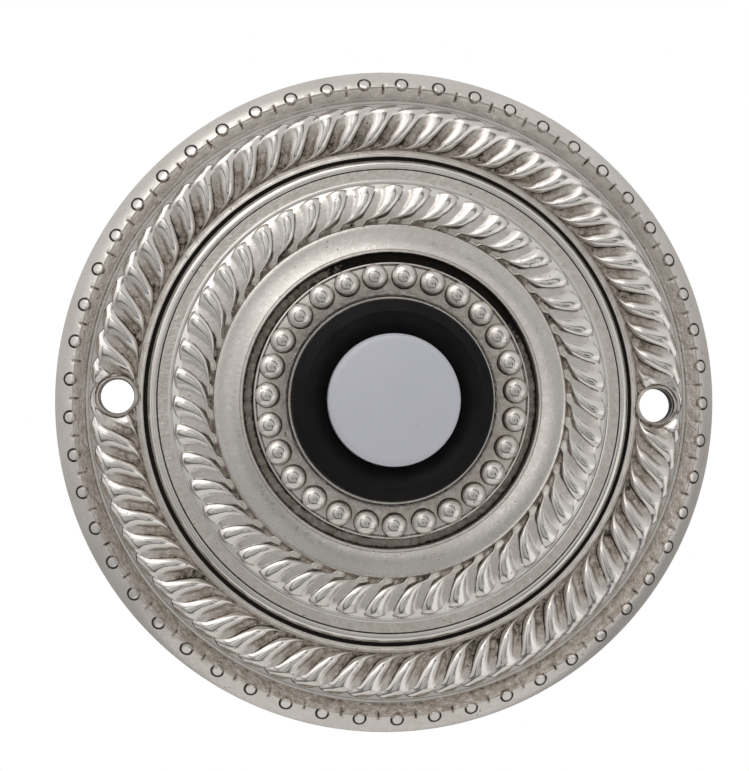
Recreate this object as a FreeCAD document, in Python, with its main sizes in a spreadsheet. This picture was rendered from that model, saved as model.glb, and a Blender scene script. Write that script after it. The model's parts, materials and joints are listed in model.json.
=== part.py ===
import FreeCAD, Part
import math
import os
import re
import Sketcher

# A round doorbell push of cast and plated metal. The wall plane is Y = 0, the front faces -Y and +Z is up.
# The origin is on the push's axis, midway between the two wall screws. Lengths are in millimetres, angles in
# degrees. A height is a distance in front of the wall plane, so what lies inside the wall has a negative one.
SIZES = {
    # push button
    "button_radius": 7.45,
    "button_crown": 0.7,
    "button_proud": 0.35,
    "button_edge_rounding": 0.45,
    "button_flange_width": 0.55,
    "button_flange_thickness": 1.5,
    "button_clearance": 0.08,
    "travel": 1.5,
    "stop_gap": 0.05,
    # switch housing
    "seat_step": 0.42,
    "ring_groove_depth": 0.4,
    "barrel_wall": 0.6,
    "barrel_length": 16.0,
    "barrel_chamfer": 0.5,
    "barrel_clearance": 0.15,
    "flange_overhang": 2.0,
    "flange_wall_height": 1.2,
    "flange_crown_inset": 1.5,
    "flange_crown_height": 2.9,
    "funnel_height": 1.6,
    "shoulder_drop": 2.5,
    # beaded collar
    "bead_radius": 1.38,
    "bead_gap": 0.97,
    "bead_rise": 0.1,
    "bead_count": 27,
    "bead_start": 4.6,
    "collar_margin": 0.22,
    "collar_thickness": 2.4,
    "collar_lip_width": 0.3,
    "collar_lip_rise": 0.4,
    # centre rosette
    "channel_width": 1.3,
    "cove_lip_width": 0.25,
    "cove_width": 2.7,
    "cove_rise": 0.8,
    "rosette_rope_margin": 0.2,
    "rosette_rope_width": 5.0,
    "rosette_rope_lift": 1.5,
    "rosette_rope_turn": 9.6,
    "rosette_rope_strands": 47,
    "rosette_shoulder_rise": 0.7,
    "rosette_band_width": 1.4,
    "rosette_groove_depth": 0.3,
    "rosette_edge_width": 1.1,
    "rosette_edge_rise": 0.8,
    "rosette_side_rise": 1.0,
    "rosette_wall": 1.2,
    "rosette_hub_width": 2.95,
    "rosette_hub_step": 0.2,
    "rosette_foot_width": 1.5,
    "rosette_gap": 0.45,
    # wall plate
    "back_relief": 0.7,
    "foot_width": 2.1,
    "web_thickness": 1.5,
    "land_width": 0.8,
    "land_rise": 0.4,
    "plate_floor_rise": 0.2,
    "rope_inner_margin": 0.2,
    "rope_outer_margin": 0.45,
    "rope_width": 4.9,
    "rope_lift": 1.6,
    "rope_turn": 5.7,
    "rope_strands": 64,
    "rim_slope_width": 1.15,
    "rim_crest_flat": 0.3,
    "rim_rise": 1.2,
    "rim_bevel_width": 2.25,
    "plate_edge_height": 0.9,
    "pellet_radius": 0.72,
    "pellet_shift": 0.15,
    "pellet_depth": 0.55,
    "pellet_count": 53,
    "pellet_start": 1.2,
    # screw holes and their bosses
    "screw_inset": 0.5,
    "screw_hole_radius": 1.95,
    "screw_mouth_radius": 2.22,
    "screw_bore_height": 1.9,
    "boss_wall": 1.15,
    "boss_rise": 0.9,
    "boss_moat": 0.35,
    # contact carrier, moving contact and eyelet
    "fit_gap": 0.05,
    "contact_thickness": 0.4,
    "contact_inset": 1.18,
    "carrier_flange_inset": 0.4,
    "carrier_flange_thickness": 1.2,
    "carrier_spigot_wall": 1.7,
    "carrier_spigot_length": 2.1,
    "carrier_spigot_gap": 0.4,
    "carrier_pocket_gap": 0.3,
    "carrier_pocket_depth": 1.2,
    "eyelet_radius": 1.2,
    "eyelet_wall": 0.5,
    "eyelet_head_width": 0.8,
    "eyelet_head_thickness": 0.4,
    # terminal base and its ring
    "contact_stand": 2.8,
    "base_thickness": 4.5,
    "base_rib_width": 1.2,
    "base_rib_length": 11.0,
    "base_rib_height": 2.2,
    "base_ring_thickness": 0.8,
    "base_ring_width": 1.1,
    "base_ring_gap": 4.0,
    # terminals
    "terminal_screw_radius": 1.0,
    "terminal_gap": 0.25,
    "terminal_nut_wall": 0.7,
    "terminal_nut_thickness": 1.2,
    "terminal_tip": 0.2,
    "terminal_washer_margin": 0.2,
    "terminal_washer_thickness": 0.5,
    "terminal_head_width": 0.9,
    "terminal_head_height": 1.2,
    "terminal_slot_width": 0.5,
    "terminal_slot_depth": 0.5,
    "strip_width": 2.6,
    "strip_foot_end": 1.9,
    "strip_riser_gap": 0.7,
    "strip_clearance": 0.28,
    # return spring
    "spring_wire_radius": 0.25,
    "spring_turns": 4.5,
    "spring_gap": 0.35,
    "spring_pocket_gap": 0.25,
    "spring_pocket_depth": 1.0,
    # lock washer and nut behind the plate
    "lock_washer_width": 2.95,
    "lock_washer_tooth_length": 1.3,
    "lock_washer_slot_width": 1.1,
    "lock_washer_teeth": 16,
    "nut_wall": 2.85,
    "nut_thickness": 3.0,
    "nut_chamfer": 1.2,
}

# sizes that follow from those above: radii from the button outward, heights from the wall forward or back
WORKED_OUT = {
    # radii of the housing
    "housing_bore_radius": "button_radius + button_clearance",
    "chamber_radius": "housing_bore_radius + button_flange_width",
    "seat_radius": "chamber_radius + seat_step",
    "ring_groove_radius": "seat_radius + ring_groove_depth",
    "barrel_radius": "ring_groove_radius + barrel_wall",
    "barrel_bore_radius": "barrel_radius + barrel_clearance",
    "flange_radius": "barrel_radius + flange_overhang",
    # radii of the castings
    "bead_circle_radius": "flange_radius + bead_gap + bead_radius",
    "collar_radius": "bead_circle_radius + bead_radius + collar_margin",
    "recess_radius": "collar_radius + channel_width",
    "cove_outer_radius": "recess_radius + cove_lip_width + cove_width",
    "rosette_rope_radius": "cove_outer_radius + rosette_rope_margin + rosette_rope_width / 2",
    "rosette_band_radius": "rosette_rope_radius + rosette_rope_width / 2 + rosette_rope_margin",
    "rosette_groove_radius": "rosette_band_radius + rosette_band_width",
    "rosette_radius": "rosette_groove_radius + rosette_edge_width",
    "rosette_hub_radius": "barrel_bore_radius + rosette_hub_width",
    "well_radius": "rosette_radius + rosette_gap",
    "land_outer_radius": "well_radius + land_width",
    "rope_radius": "land_outer_radius + rope_inner_margin + rope_width / 2",
    "rim_foot_radius": "rope_radius + rope_width / 2 + rope_outer_margin",
    "rim_crest_radius": "rim_foot_radius + rim_slope_width + rim_crest_flat",
    "plate_radius": "rim_crest_radius + rim_bevel_width",
    "screw_offset": "rope_radius - screw_inset",
    "boss_radius": "screw_hole_radius + boss_wall",
    # heights of the castings and the housing
    "web_height": "back_relief + web_thickness",
    "plate_floor_height": "web_height + plate_floor_rise",
    "land_height": "plate_floor_height + land_rise",
    "rim_crest_height": "plate_floor_height + rim_rise",
    "boss_height": "plate_floor_height + boss_rise",
    "rosette_side_height": "web_height + rosette_side_rise",
    "rosette_edge_height": "rosette_side_height + rosette_edge_rise",
    "rosette_shoulder_height": "rosette_edge_height + rosette_shoulder_rise",
    "recess_lip_height": "rosette_shoulder_height + cove_rise",
    "recess_floor_height": "web_height + rosette_hub_step + rosette_wall",
    "collar_floor_height": "recess_floor_height + collar_thickness",
    "shoulder_height": "collar_floor_height - shoulder_drop",
    "button_edge_height": "collar_floor_height + flange_crown_height + button_proud",
    # heights of the mechanism, each further back than the one before
    "button_foot_height": "shoulder_height - stop_gap - button_flange_thickness",
    "contact_top_height": "button_foot_height - carrier_flange_thickness",
    "contact_back_height": "contact_top_height - contact_thickness",
    "tip_height": "contact_back_height - travel - stop_gap",
    "base_front_height": "tip_height - contact_stand",
    "base_back_height": "base_front_height - base_thickness",
    "spring_pocket_height": "base_front_height - spring_pocket_depth",
    # radii of the mechanism
    "eyelet_head_radius": "eyelet_radius + eyelet_head_width",
    "carrier_pocket_radius": "eyelet_head_radius + carrier_pocket_gap",
    "spigot_radius": "carrier_pocket_radius + carrier_spigot_wall",
    "moving_contact_radius": "chamber_radius - contact_inset",
    "spring_radius": "eyelet_head_radius + spring_gap + spring_wire_radius",
    "spring_pocket_radius": "spring_radius + spring_wire_radius + spring_pocket_gap",
    "base_ring_radius": "ring_groove_radius - fit_gap",
    "terminal_head_radius": "terminal_screw_radius + terminal_head_width",
    "terminal_washer_radius": "terminal_head_radius + terminal_washer_margin",
    "terminal_nut_reach": "(terminal_screw_radius + terminal_nut_wall) / cos(30)",
    "terminal_offset": "base_ring_radius - base_ring_width - terminal_gap - terminal_washer_radius",
    "strip_riser_offset": "terminal_washer_radius + strip_riser_gap",
    "strip_reach": "sqrt((chamber_radius - strip_clearance) ^ 2 - (terminal_offset + strip_width / 2) ^ 2)",
    "nut_reach": "(barrel_bore_radius + nut_wall) / cos(30)",
    "lock_washer_radius": "barrel_bore_radius + lock_washer_width",
}

# where a strand's cross sections stand along it, from its inner end to its outer end
STRAND_STATIONS = (-1.0, -0.5, 0.0, 0.5, 1.0)
STRAND_FACETS = 3
STRAND_FILL = 0.94
# how far a boss, strand or bead runs into the casting that carries it
SINK = 0.3

doc = FreeCAD.newDocument("doorbell_push")
sheet = doc.addObject("Spreadsheet::Sheet", "size")
for row, (alias, number) in enumerate(SIZES.items(), start=1):
    sheet.set(f"A{row}", alias)
    sheet.set(f"B{row}", str(number))
    sheet.setAlias(f"B{row}", alias)
doc.recompute()


def bound(expression):
    """An expression in which each size's name is the sheet's cell, or is written out in such cells."""
    def written(word):
        name = word[0]
        if name in WORKED_OUT:
            return f"({bound(WORKED_OUT[name])})"
        return f"size.{name}" if name in SIZES else name

    return re.sub(r"[a-z_]+", written, str(expression))


def worth(expression):
    """The number that an expression has now."""
    return float(sheet.evalExpression(bound(expression)))


def origin_feature(body, role):
    return next(f for f in body.Origin.OriginFeatures if f.Role == role)


def new_body(name):
    body = doc.addObject("PartDesign::Body", name)
    body.Label = name
    return body


def new_sketch(body, name, plane, height="0", shift="0"):
    """A sketch on one of the body's planes, moved along the plane's normal and along its first axis."""
    sketch = body.newObject("Sketcher::SketchObject", f"{body.Label}_{name}")
    sketch.AttachmentSupport = (origin_feature(body, plane), [""])
    sketch.MapMode = "FlatFace"
    sketch.setExpression("AttachmentOffset.Base.z", bound(height))
    sketch.setExpression("AttachmentOffset.Base.x", bound(shift))
    return sketch


def tie(sketch, geometry, point, across, up, mark):
    """Ties a point of a sketch to its two expressions, measured from the sketch's origin."""
    for kind, expression in (("DistanceX", across), ("DistanceY", up)):
        name = f"{kind}_{mark}"
        number = sketch.addConstraint(
            Sketcher.Constraint(kind, -1, 1, geometry, point, worth(expression))
        )
        sketch.renameConstraint(number, name)
        sketch.setExpression(f"Constraints.{name}", bound(expression))


def arc_between(start, end, radius, side):
    """The minor arc between two points that bulges to the left of the way there, or to the right of it."""
    chord = end - start
    left = FreeCAD.Vector(-chord.y, chord.x, 0).normalize()
    rise = math.sqrt(radius**2 - (chord.Length / 2) ** 2)
    centre = (start + end) / 2 - left * rise * side
    first, last = (end, start) if side > 0 else (start, end)
    turns = [math.atan2(p.y - centre.y, p.x - centre.x) for p in (first, last)]
    circle = Part.Circle(centre, FreeCAD.Vector(0, 0, 1), radius)
    return Part.ArcOfCircle(circle, turns[0], turns[1])


def arc_radius(roundness, start, end):
    """An arc's radius: a number gives it as a share of the arc's chord, and text gives it as it is."""
    if isinstance(roundness, str):
        return roundness
    across = f"({start[0]}) - ({end[0]})"
    up = f"({start[1]}) - ({end[1]})"
    return f"{roundness} * sqrt(({across}) ^ 2 + ({up}) ^ 2)"


def draw_outline(sketch, corners):
    """A closed outline. A corner is (across, up), or (across, up, roundness, side) where an arc leaves it."""
    points = [FreeCAD.Vector(worth(c[0]), worth(c[1]), 0) for c in corners]
    ends = []
    radii = {}
    for n, corner in enumerate(corners):
        start, end = points[n], points[(n + 1) % len(points)]
        if len(corner) == 2:
            edge = sketch.addGeometry(Part.LineSegment(start, end), False)
            ends.append((edge, 1, 2))
        else:
            side = corner[3]
            radii[n] = arc_radius(corner[2], corner, corners[(n + 1) % len(corners)])
            edge = sketch.addGeometry(arc_between(start, end, worth(radii[n]), side), False)
            ends.append((edge, 2, 1) if side > 0 else (edge, 1, 2))
    for n, (edge, first, last) in enumerate(ends):
        after, after_first, _ = ends[(n + 1) % len(ends)]
        sketch.addConstraint(Sketcher.Constraint("Coincident", edge, last, after, after_first))
    for n, corner in enumerate(corners):
        edge, first, _ = ends[n]
        tie(sketch, edge, first, corner[0], corner[1], n)
        if n in radii:
            number = sketch.addConstraint(Sketcher.Constraint("Radius", edge, worth(radii[n])))
            sketch.renameConstraint(number, f"Radius_{n}")
            sketch.setExpression(f"Constraints.Radius_{n}", bound(radii[n]))


def draw_circles(sketch, circles):
    """Circles, each an (across, up, radius)."""
    for n, (across, up, radius) in enumerate(circles):
        place = FreeCAD.Vector(worth(across), worth(up), 0)
        circle = Part.Circle(place, FreeCAD.Vector(0, 0, 1), worth(radius))
        edge = sketch.addGeometry(circle, False)
        tie(sketch, edge, 3, across, up, n)
        number = sketch.addConstraint(Sketcher.Constraint("Radius", edge, worth(radius)))
        sketch.renameConstraint(number, f"Radius_{n}")
        sketch.setExpression(f"Constraints.Radius_{n}", bound(radius))


def turned(body, name, corners, kind="PartDesign::Revolution"):
    """A solid of revolution about the push's axis, from (radius, height) corners.

    Height runs against the sketch's second axis, so an arc changes side.
    """
    sketch = new_sketch(body, f"{name}_profile", "XY_Plane")
    outline = []
    for corner in corners:
        place = (corner[0], f"-({corner[1]})")
        outline.append(place if len(corner) == 2 else (*place, corner[2], -corner[3]))
    draw_outline(sketch, outline)
    feature = body.newObject(kind, f"{body.Label}_{name}")
    feature.Profile = sketch
    feature.ReferenceAxis = (sketch, ["V_Axis"])
    feature.Angle = 360
    body.Tip = feature
    doc.recompute()
    return feature


def padded(body, name, draw, shapes, low, high):
    """A pad between two heights."""
    sketch = new_sketch(body, f"{name}_outline", "XZ_Plane", low)
    draw(sketch, shapes)
    feature = body.newObject("PartDesign::Pad", f"{body.Label}_{name}")
    feature.Refine = False
    feature.Profile = sketch
    feature.setExpression("Length", bound(f"({high}) - ({low})"))
    body.Tip = feature
    doc.recompute()
    return feature


def pocketed(body, name, draw, shapes, low, high):
    """A pocket sunk from the upper height to the lower one."""
    sketch = new_sketch(body, f"{name}_outline", "XZ_Plane", high)
    draw(sketch, shapes)
    before = body.Shape.Volume
    feature = body.newObject("PartDesign::Pocket", f"{body.Label}_{name}")
    feature.Refine = False
    feature.Profile = sketch
    feature.setExpression("Length", bound(f"({high}) - ({low})"))
    body.Tip = feature
    doc.recompute()
    if not body.Shape.Volume < before:
        raise RuntimeError(f"{feature.Name} cut nothing")
    return feature


def patterned(body, name, feature, count):
    """Copies of a feature all round the push's axis."""
    pattern = body.newObject("PartDesign::PolarPattern", f"{body.Label}_{name}")
    pattern.Originals = [feature]
    pattern.Refine = False
    pattern.Axis = (origin_feature(body, "Y_Axis"), [""])
    pattern.Angle = 360
    pattern.setExpression("Occurrences", bound(count))
    body.Tip = pattern
    doc.recompute()
    return pattern


def ball(body, name, ring, height, radius, start):
    """A ball on a ring, at an angle clockwise from the top as the front shows it."""
    sphere = body.newObject("PartDesign::AdditiveSphere", f"{body.Label}_{name}")
    sphere.AttachmentSupport = (origin_feature(body, "XZ_Plane"), [""])
    sphere.MapMode = "FlatFace"
    sphere.Refine = False
    sphere.setExpression("AttachmentOffset.Base.x", bound(f"({ring}) * sin({start})"))
    sphere.setExpression("AttachmentOffset.Base.y", bound(f"({ring}) * cos({start})"))
    sphere.setExpression("AttachmentOffset.Base.z", bound(height))
    sphere.setExpression("Radius", bound(radius))
    body.Tip = sphere
    doc.recompute()
    return sphere


def mouth(body, name, across, low, high, bottom_radius, top_radius):
    """A conical widening of a hole between two heights."""
    cone = body.newObject("PartDesign::SubtractiveCone", f"{body.Label}_{name}")
    cone.AttachmentSupport = (origin_feature(body, "XZ_Plane"), [""])
    cone.MapMode = "FlatFace"
    cone.Refine = False
    cone.setExpression("AttachmentOffset.Base.x", bound(across))
    cone.setExpression("AttachmentOffset.Base.z", bound(low))
    cone.setExpression("Height", bound(f"({high}) - ({low})"))
    cone.setExpression("Radius1", bound(bottom_radius))
    cone.setExpression("Radius2", bound(top_radius))
    body.Tip = cone
    doc.recompute()
    return cone


def polygon(across, up, reach, sides, start=0.0):
    """The corners of a regular polygon, counted from the angle at which the first one stands."""
    turns = [start + 360.0 * n / sides for n in range(sides)]
    return [(f"{across} + ({reach}) * cos({a})", f"{up} + ({reach}) * sin({a})") for a in turns]


def rectangle(left, right, low, high):
    return [(left, low), (right, low), (right, high), (left, high)]


def rope(body, name, ring, width, turn, strands, floor, crest):
    """A rope moulding: one S-shaped strand lofted across the band, then repeated round the axis."""
    sections = []
    for n, station in enumerate(STRAND_STATIONS):
        round_off = math.cos(math.radians(83.0 * station))
        radius = f"{ring} + {width} / 2 * {math.sin(math.radians(90 * station))}"
        shift = f"{ring} * {turn} * pi / 360 * {station}"
        half = f"pi * ({radius}) / {strands} * {STRAND_FILL * (0.5 + 0.5 * round_off)}"
        foot = f"{floor} - {SINK}"
        rise = f"(({crest}) - ({floor})) * {round_off ** 0.6} + {SINK}"
        sketch = new_sketch(body, f"{name}_section_{n}", "XY_Plane", radius, shift)
        corners = []
        for k in range(STRAND_FACETS + 1):
            lean = 180.0 * k / STRAND_FACETS
            corners.append((f"-({half}) * cos({lean})", f"-({foot}) - ({rise}) * sin({lean})"))
        draw_outline(sketch, corners)
        sections.append(sketch)
    strand = body.newObject("PartDesign::AdditiveLoft", f"{body.Label}_{name}_strand")
    strand.Profile = sections[0]
    strand.Sections = sections[1:]
    strand.Ruled = True
    strand.Refine = False
    body.Tip = strand
    doc.recompute()
    return patterned(body, f"{name}_strands", strand, strands)


def make_back_plate():
    body = new_body("back_plate")
    bore = "barrel_bore_radius"
    turned(body, "casting", [
        (bore, "back_relief"),
        ("plate_radius - foot_width", "back_relief"),
        ("plate_radius - foot_width", "0"),
        ("plate_radius", "0"),
        ("plate_radius", "plate_edge_height", 1.7, -1),
        ("rim_crest_radius", "rim_crest_height"),
        ("rim_crest_radius - rim_crest_flat", "rim_crest_height"),
        ("rim_foot_radius", "plate_floor_height"),
        ("land_outer_radius", "plate_floor_height"),
        ("land_outer_radius", "land_height"),
        ("well_radius", "land_height"),
        ("well_radius", "web_height"),
        (bore, "web_height"),
    ])
    pellet = ball(body, "pellet", "rim_crest_radius + pellet_shift", "rim_crest_height - pellet_depth",
                  "pellet_radius", "pellet_start")
    patterned(body, "pellets", pellet, "pellet_count")
    rope(body, "rope", "rope_radius", "rope_width", "rope_turn", "rope_strands",
         "plate_floor_height", "plate_floor_height + rope_lift")
    sides = ("-screw_offset", "screw_offset")
    moats = [(side, "0", "boss_radius + boss_moat") for side in sides]
    bosses = [(side, "0", "boss_radius") for side in sides]
    holes = [(side, "0", "screw_hole_radius") for side in sides]
    top = "plate_floor_height + rope_lift + 1"
    pocketed(body, "moats", draw_circles, moats, "plate_floor_height", top)
    padded(body, "bosses", draw_circles, bosses, "0", "boss_height")
    pocketed(body, "screw_holes", draw_circles, holes, "-1", top)
    for name, side in zip(("left_mouth", "right_mouth"), sides):
        mouth(body, name, side, "screw_bore_height", "boss_height", "screw_hole_radius", "screw_mouth_radius")
    return body


def make_centre_rosette():
    body = new_body("centre_rosette")
    bore = "barrel_bore_radius"
    edge = "rosette_radius"
    groove = "rosette_groove_radius"
    turned(body, "casting", [
        (bore, "web_height"),
        ("rosette_hub_radius", "web_height"),
        ("rosette_hub_radius", "recess_floor_height - rosette_wall"),
        ("recess_radius", "recess_floor_height - rosette_wall"),
        ("cove_outer_radius", "rosette_shoulder_height - rosette_wall"),
        (f"{edge} - rosette_foot_width", "rosette_edge_height - rosette_wall"),
        (f"{edge} - rosette_foot_width", "web_height"),
        (edge, "web_height"),
        (edge, "rosette_side_height", 0.7, -1),
        (groove, "rosette_edge_height - rosette_groove_depth"),
        (f"{groove} - 0.3", "rosette_edge_height"),
        ("rosette_band_radius", "rosette_edge_height"),
        ("cove_outer_radius", "rosette_shoulder_height", 2.1, 1),
        ("recess_radius + cove_lip_width", "recess_lip_height"),
        ("recess_radius", "recess_lip_height"),
        ("recess_radius", "recess_floor_height"),
        (bore, "recess_floor_height"),
    ])
    middle = "(rosette_edge_height + rosette_shoulder_height) / 2"
    rope(body, "rope", "rosette_rope_radius", "rosette_rope_width", "rosette_rope_turn",
         "rosette_rope_strands", middle, f"{middle} + rosette_rope_lift")
    return body


def make_beaded_collar():
    body = new_body("beaded_collar")
    bore = "barrel_bore_radius"
    lip = "collar_radius - collar_lip_width"
    lip_height = "collar_floor_height + collar_lip_rise"
    turned(body, "casting", [
        (bore, "recess_floor_height"),
        ("collar_radius", "recess_floor_height"),
        ("collar_radius", lip_height),
        (lip, lip_height),
        (lip, "collar_floor_height"),
        (bore, "collar_floor_height"),
    ])
    bead = ball(body, "bead", "bead_circle_radius", "collar_floor_height + bead_rise", "bead_radius", "bead_start")
    patterned(body, "beads", bead, "bead_count")
    return body


def make_switch_housing():
    body = new_body("switch_housing")
    bottom = "collar_floor_height"
    bore = "housing_bore_radius"
    ring_back = "base_back_height - base_ring_thickness"
    turned(body, "shell", [
        ("barrel_radius", bottom),
        ("flange_radius", bottom),
        ("flange_radius", f"{bottom} + flange_wall_height", 0.97, -1),
        ("flange_radius - flange_crown_inset", f"{bottom} + flange_crown_height", 2.15, 1),
        (bore, f"{bottom} + funnel_height"),
        (bore, "shoulder_height"),
        ("chamber_radius", "shoulder_height"),
        ("chamber_radius", "base_front_height"),
        ("seat_radius", "base_front_height"),
        ("seat_radius", "base_back_height"),
        ("ring_groove_radius", "base_back_height"),
        ("ring_groove_radius", ring_back),
        ("seat_radius", ring_back),
        ("seat_radius", "-barrel_length"),
        ("barrel_radius - barrel_chamfer", "-barrel_length"),
        ("barrel_radius", "-barrel_length + barrel_chamfer"),
    ])
    return body


def make_button_cap():
    body = new_body("button_cap")
    flange = "button_radius + button_flange_width"
    top = "shoulder_height - stop_gap"
    foot = "button_foot_height"
    bore = "spigot_radius + fit_gap"
    bore_end = f"{foot} + carrier_spigot_length + carrier_spigot_gap"
    shoulder = "button_radius - button_edge_rounding"
    turned(body, "dome", [
        (bore, foot),
        (flange, foot),
        (flange, top),
        ("button_radius", top),
        ("button_radius", "button_edge_height - button_edge_rounding", "button_edge_rounding", -1),
        (shoulder, "button_edge_height", f"(({shoulder}) ^ 2 + button_crown ^ 2) / (2 * button_crown)", -1),
        ("0", "button_edge_height + button_crown"),
        ("0", bore_end),
        (bore, bore_end),
    ])
    return body


def make_contact_carrier():
    body = new_body("contact_carrier")
    seat = "button_foot_height"
    flange = "moving_contact_radius - carrier_flange_inset"
    hole = "eyelet_radius + fit_gap"
    turned(body, "moulding", [
        (hole, "contact_top_height"),
        (flange, "contact_top_height"),
        (flange, seat),
        ("spigot_radius", seat),
        ("spigot_radius", f"{seat} + carrier_spigot_length"),
        ("carrier_pocket_radius", f"{seat} + carrier_spigot_length"),
        ("carrier_pocket_radius", f"{seat} + carrier_spigot_length - carrier_pocket_depth"),
        (hole, f"{seat} + carrier_spigot_length - carrier_pocket_depth"),
    ])
    return body


def make_moving_contact():
    body = new_body("moving_contact")
    hole = "eyelet_radius + fit_gap"
    turned(body, "disc", [
        (hole, "contact_back_height"),
        ("moving_contact_radius", "contact_back_height"),
        ("moving_contact_radius", "contact_top_height"),
        (hole, "contact_top_height"),
    ])
    return body


def make_contact_eyelet():
    body = new_body("contact_eyelet")
    bore = "eyelet_radius - eyelet_wall"
    low = "contact_back_height"
    high = "button_foot_height + carrier_spigot_length - carrier_pocket_depth"
    turned(body, "tube", [
        (bore, f"{low} - eyelet_head_thickness"),
        ("eyelet_head_radius", f"{low} - eyelet_head_thickness"),
        ("eyelet_head_radius", low),
        ("eyelet_radius", low),
        ("eyelet_radius", high),
        ("eyelet_head_radius", high),
        ("eyelet_head_radius", f"{high} + eyelet_head_thickness"),
        (bore, f"{high} + eyelet_head_thickness"),
    ])
    return body


def make_terminal_base():
    body = new_body("terminal_base")
    back, front = "base_back_height", "base_front_height"
    turned(body, "disc", [
        ("0", back),
        ("seat_radius - fit_gap", back),
        ("seat_radius - fit_gap", front),
        ("spring_pocket_radius", front),
        ("spring_pocket_radius", "spring_pocket_height"),
        ("0", "spring_pocket_height"),
    ])
    rib = rectangle("-base_rib_width / 2", "base_rib_width / 2", "-base_rib_length / 2", "base_rib_length / 2")
    padded(body, "rib", draw_outline, rib, f"{back} - base_rib_height", back)
    holes = [(f"{side} * terminal_offset", "0", "terminal_screw_radius + fit_gap") for side in (-1, 1)]
    pocketed(body, "screw_holes", draw_circles, holes, f"{back} - 1", f"{front} + 1")
    return body


def make_base_retaining_ring():
    body = new_body("base_retaining_ring")
    front = "base_back_height"
    outer = "base_ring_radius"
    turned(body, "ring", [
        (f"{outer} - base_ring_width", f"{front} - base_ring_thickness"),
        (outer, f"{front} - base_ring_thickness"),
        (outer, front),
        (f"{outer} - base_ring_width", front),
    ])
    gap = rectangle("-base_ring_gap / 2", "base_ring_gap / 2", "-seat_radius - 1", "0")
    pocketed(body, "gap", draw_outline, gap, f"{front} - base_ring_thickness - 1", f"{front} + 1")
    return body


def place_terminal(body, side):
    """The parts of a terminal are drawn at +X; the left terminal is the same, turned half round."""
    turn = 0 if side == "right" else 180
    body.Placement = FreeCAD.Placement(
        FreeCAD.Vector(0, 0, 0), FreeCAD.Rotation(FreeCAD.Vector(0, 1, 0), turn)
    )
    return body


def make_fixed_contact(side):
    body = new_body(f"fixed_contact_{side}")
    low = "base_front_height"
    tip = "tip_height"
    riser = "strip_riser_offset"
    sketch = new_sketch(body, "strip_profile", "YZ_Plane", "terminal_offset - strip_width / 2")
    corners = [
        (low, "-strip_foot_end"),
        (low, f"{riser} + contact_thickness"),
        (f"{tip} - contact_thickness", f"{riser} + contact_thickness"),
        (f"{tip} - contact_thickness", "strip_reach"),
        (tip, "strip_reach"),
        (tip, riser),
        (f"{low} + contact_thickness", riser),
        (f"{low} + contact_thickness", "-strip_foot_end"),
    ]
    draw_outline(sketch, [(f"-({height})", up) for height, up in corners])
    strip = body.newObject("PartDesign::Pad", f"{body.Label}_strip")
    strip.Profile = sketch
    strip.setExpression("Length", bound("strip_width"))
    body.Tip = strip
    doc.recompute()
    hole = [("terminal_offset", "0", "terminal_screw_radius + fit_gap")]
    pocketed(body, "hole", draw_circles, hole, f"{low} - 1", f"{low} + contact_thickness + 1")
    return place_terminal(body, side)


def make_terminal_nut(side):
    body = new_body(f"terminal_nut_{side}")
    seat = "base_front_height + contact_thickness"
    corners = polygon("terminal_offset", "0", "terminal_nut_reach", 6)
    padded(body, "hexagon", draw_outline, corners, seat, f"{seat} + terminal_nut_thickness")
    hole = [("terminal_offset", "0", "terminal_screw_radius + fit_gap")]
    pocketed(body, "hole", draw_circles, hole, f"{seat} - 1", f"{seat} + terminal_nut_thickness + 1")
    return place_terminal(body, side)


def make_terminal_washer(side):
    body = new_body(f"terminal_washer_{side}")
    seat = "base_back_height"
    disc = [("terminal_offset", "0", "terminal_washer_radius")]
    hole = [("terminal_offset", "0", "terminal_screw_radius + fit_gap")]
    padded(body, "disc", draw_circles, disc + hole, f"{seat} - terminal_washer_thickness", seat)
    return place_terminal(body, side)


def make_terminal_screw(side):
    body = new_body(f"terminal_screw_{side}")
    under_head = "base_back_height - terminal_washer_thickness"
    tip = "base_front_height + contact_thickness + terminal_nut_thickness + terminal_tip"
    shank = [("terminal_offset", "0", "terminal_screw_radius")]
    head = [("terminal_offset", "0", "terminal_head_radius")]
    back = f"{under_head} - terminal_head_height"
    padded(body, "shank", draw_circles, shank, f"{under_head} - {SINK}", tip)
    padded(body, "head", draw_circles, head, back, under_head)
    slot = rectangle(
        "terminal_offset - terminal_head_radius - 1", "terminal_offset + terminal_head_radius + 1",
        "-terminal_slot_width / 2", "terminal_slot_width / 2",
    )
    pocketed(body, "slot", draw_outline, slot, f"{back} - 1", f"{back} + terminal_slot_depth")
    return place_terminal(body, side)


def make_return_spring():
    body = new_body("return_spring")
    low = "spring_pocket_height + stop_gap + spring_wire_radius"
    high = "contact_back_height - stop_gap - spring_wire_radius"
    sketch = new_sketch(body, "wire_section", "XY_Plane")
    draw_circles(sketch, [("spring_radius", f"-({high})", "spring_wire_radius")])
    coil = body.newObject("PartDesign::AdditiveHelix", "return_spring_coil")
    coil.Profile = sketch
    coil.ReferenceAxis = (origin_feature(body, "Y_Axis"), [""])
    coil.Mode = "height-turns-angle"
    coil.setExpression("Height", bound(f"({high}) - ({low})"))
    coil.setExpression("Turns", bound("spring_turns"))
    body.Tip = coil
    doc.recompute()
    return body


def make_lock_washer():
    body = new_body("lock_washer")
    rings = [("0", "0", "lock_washer_radius"), ("0", "0", "barrel_bore_radius")]
    padded(body, "ring", draw_circles, rings, "0", "back_relief")
    slot = rectangle(
        "-lock_washer_slot_width / 2", "lock_washer_slot_width / 2",
        "lock_washer_radius - lock_washer_tooth_length", "lock_washer_radius + 1",
    )
    tooth_gap = pocketed(body, "tooth_gap", draw_outline, slot, "-1", "back_relief + 1")
    patterned(body, "tooth_gaps", tooth_gap, "lock_washer_teeth")
    return body


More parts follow.
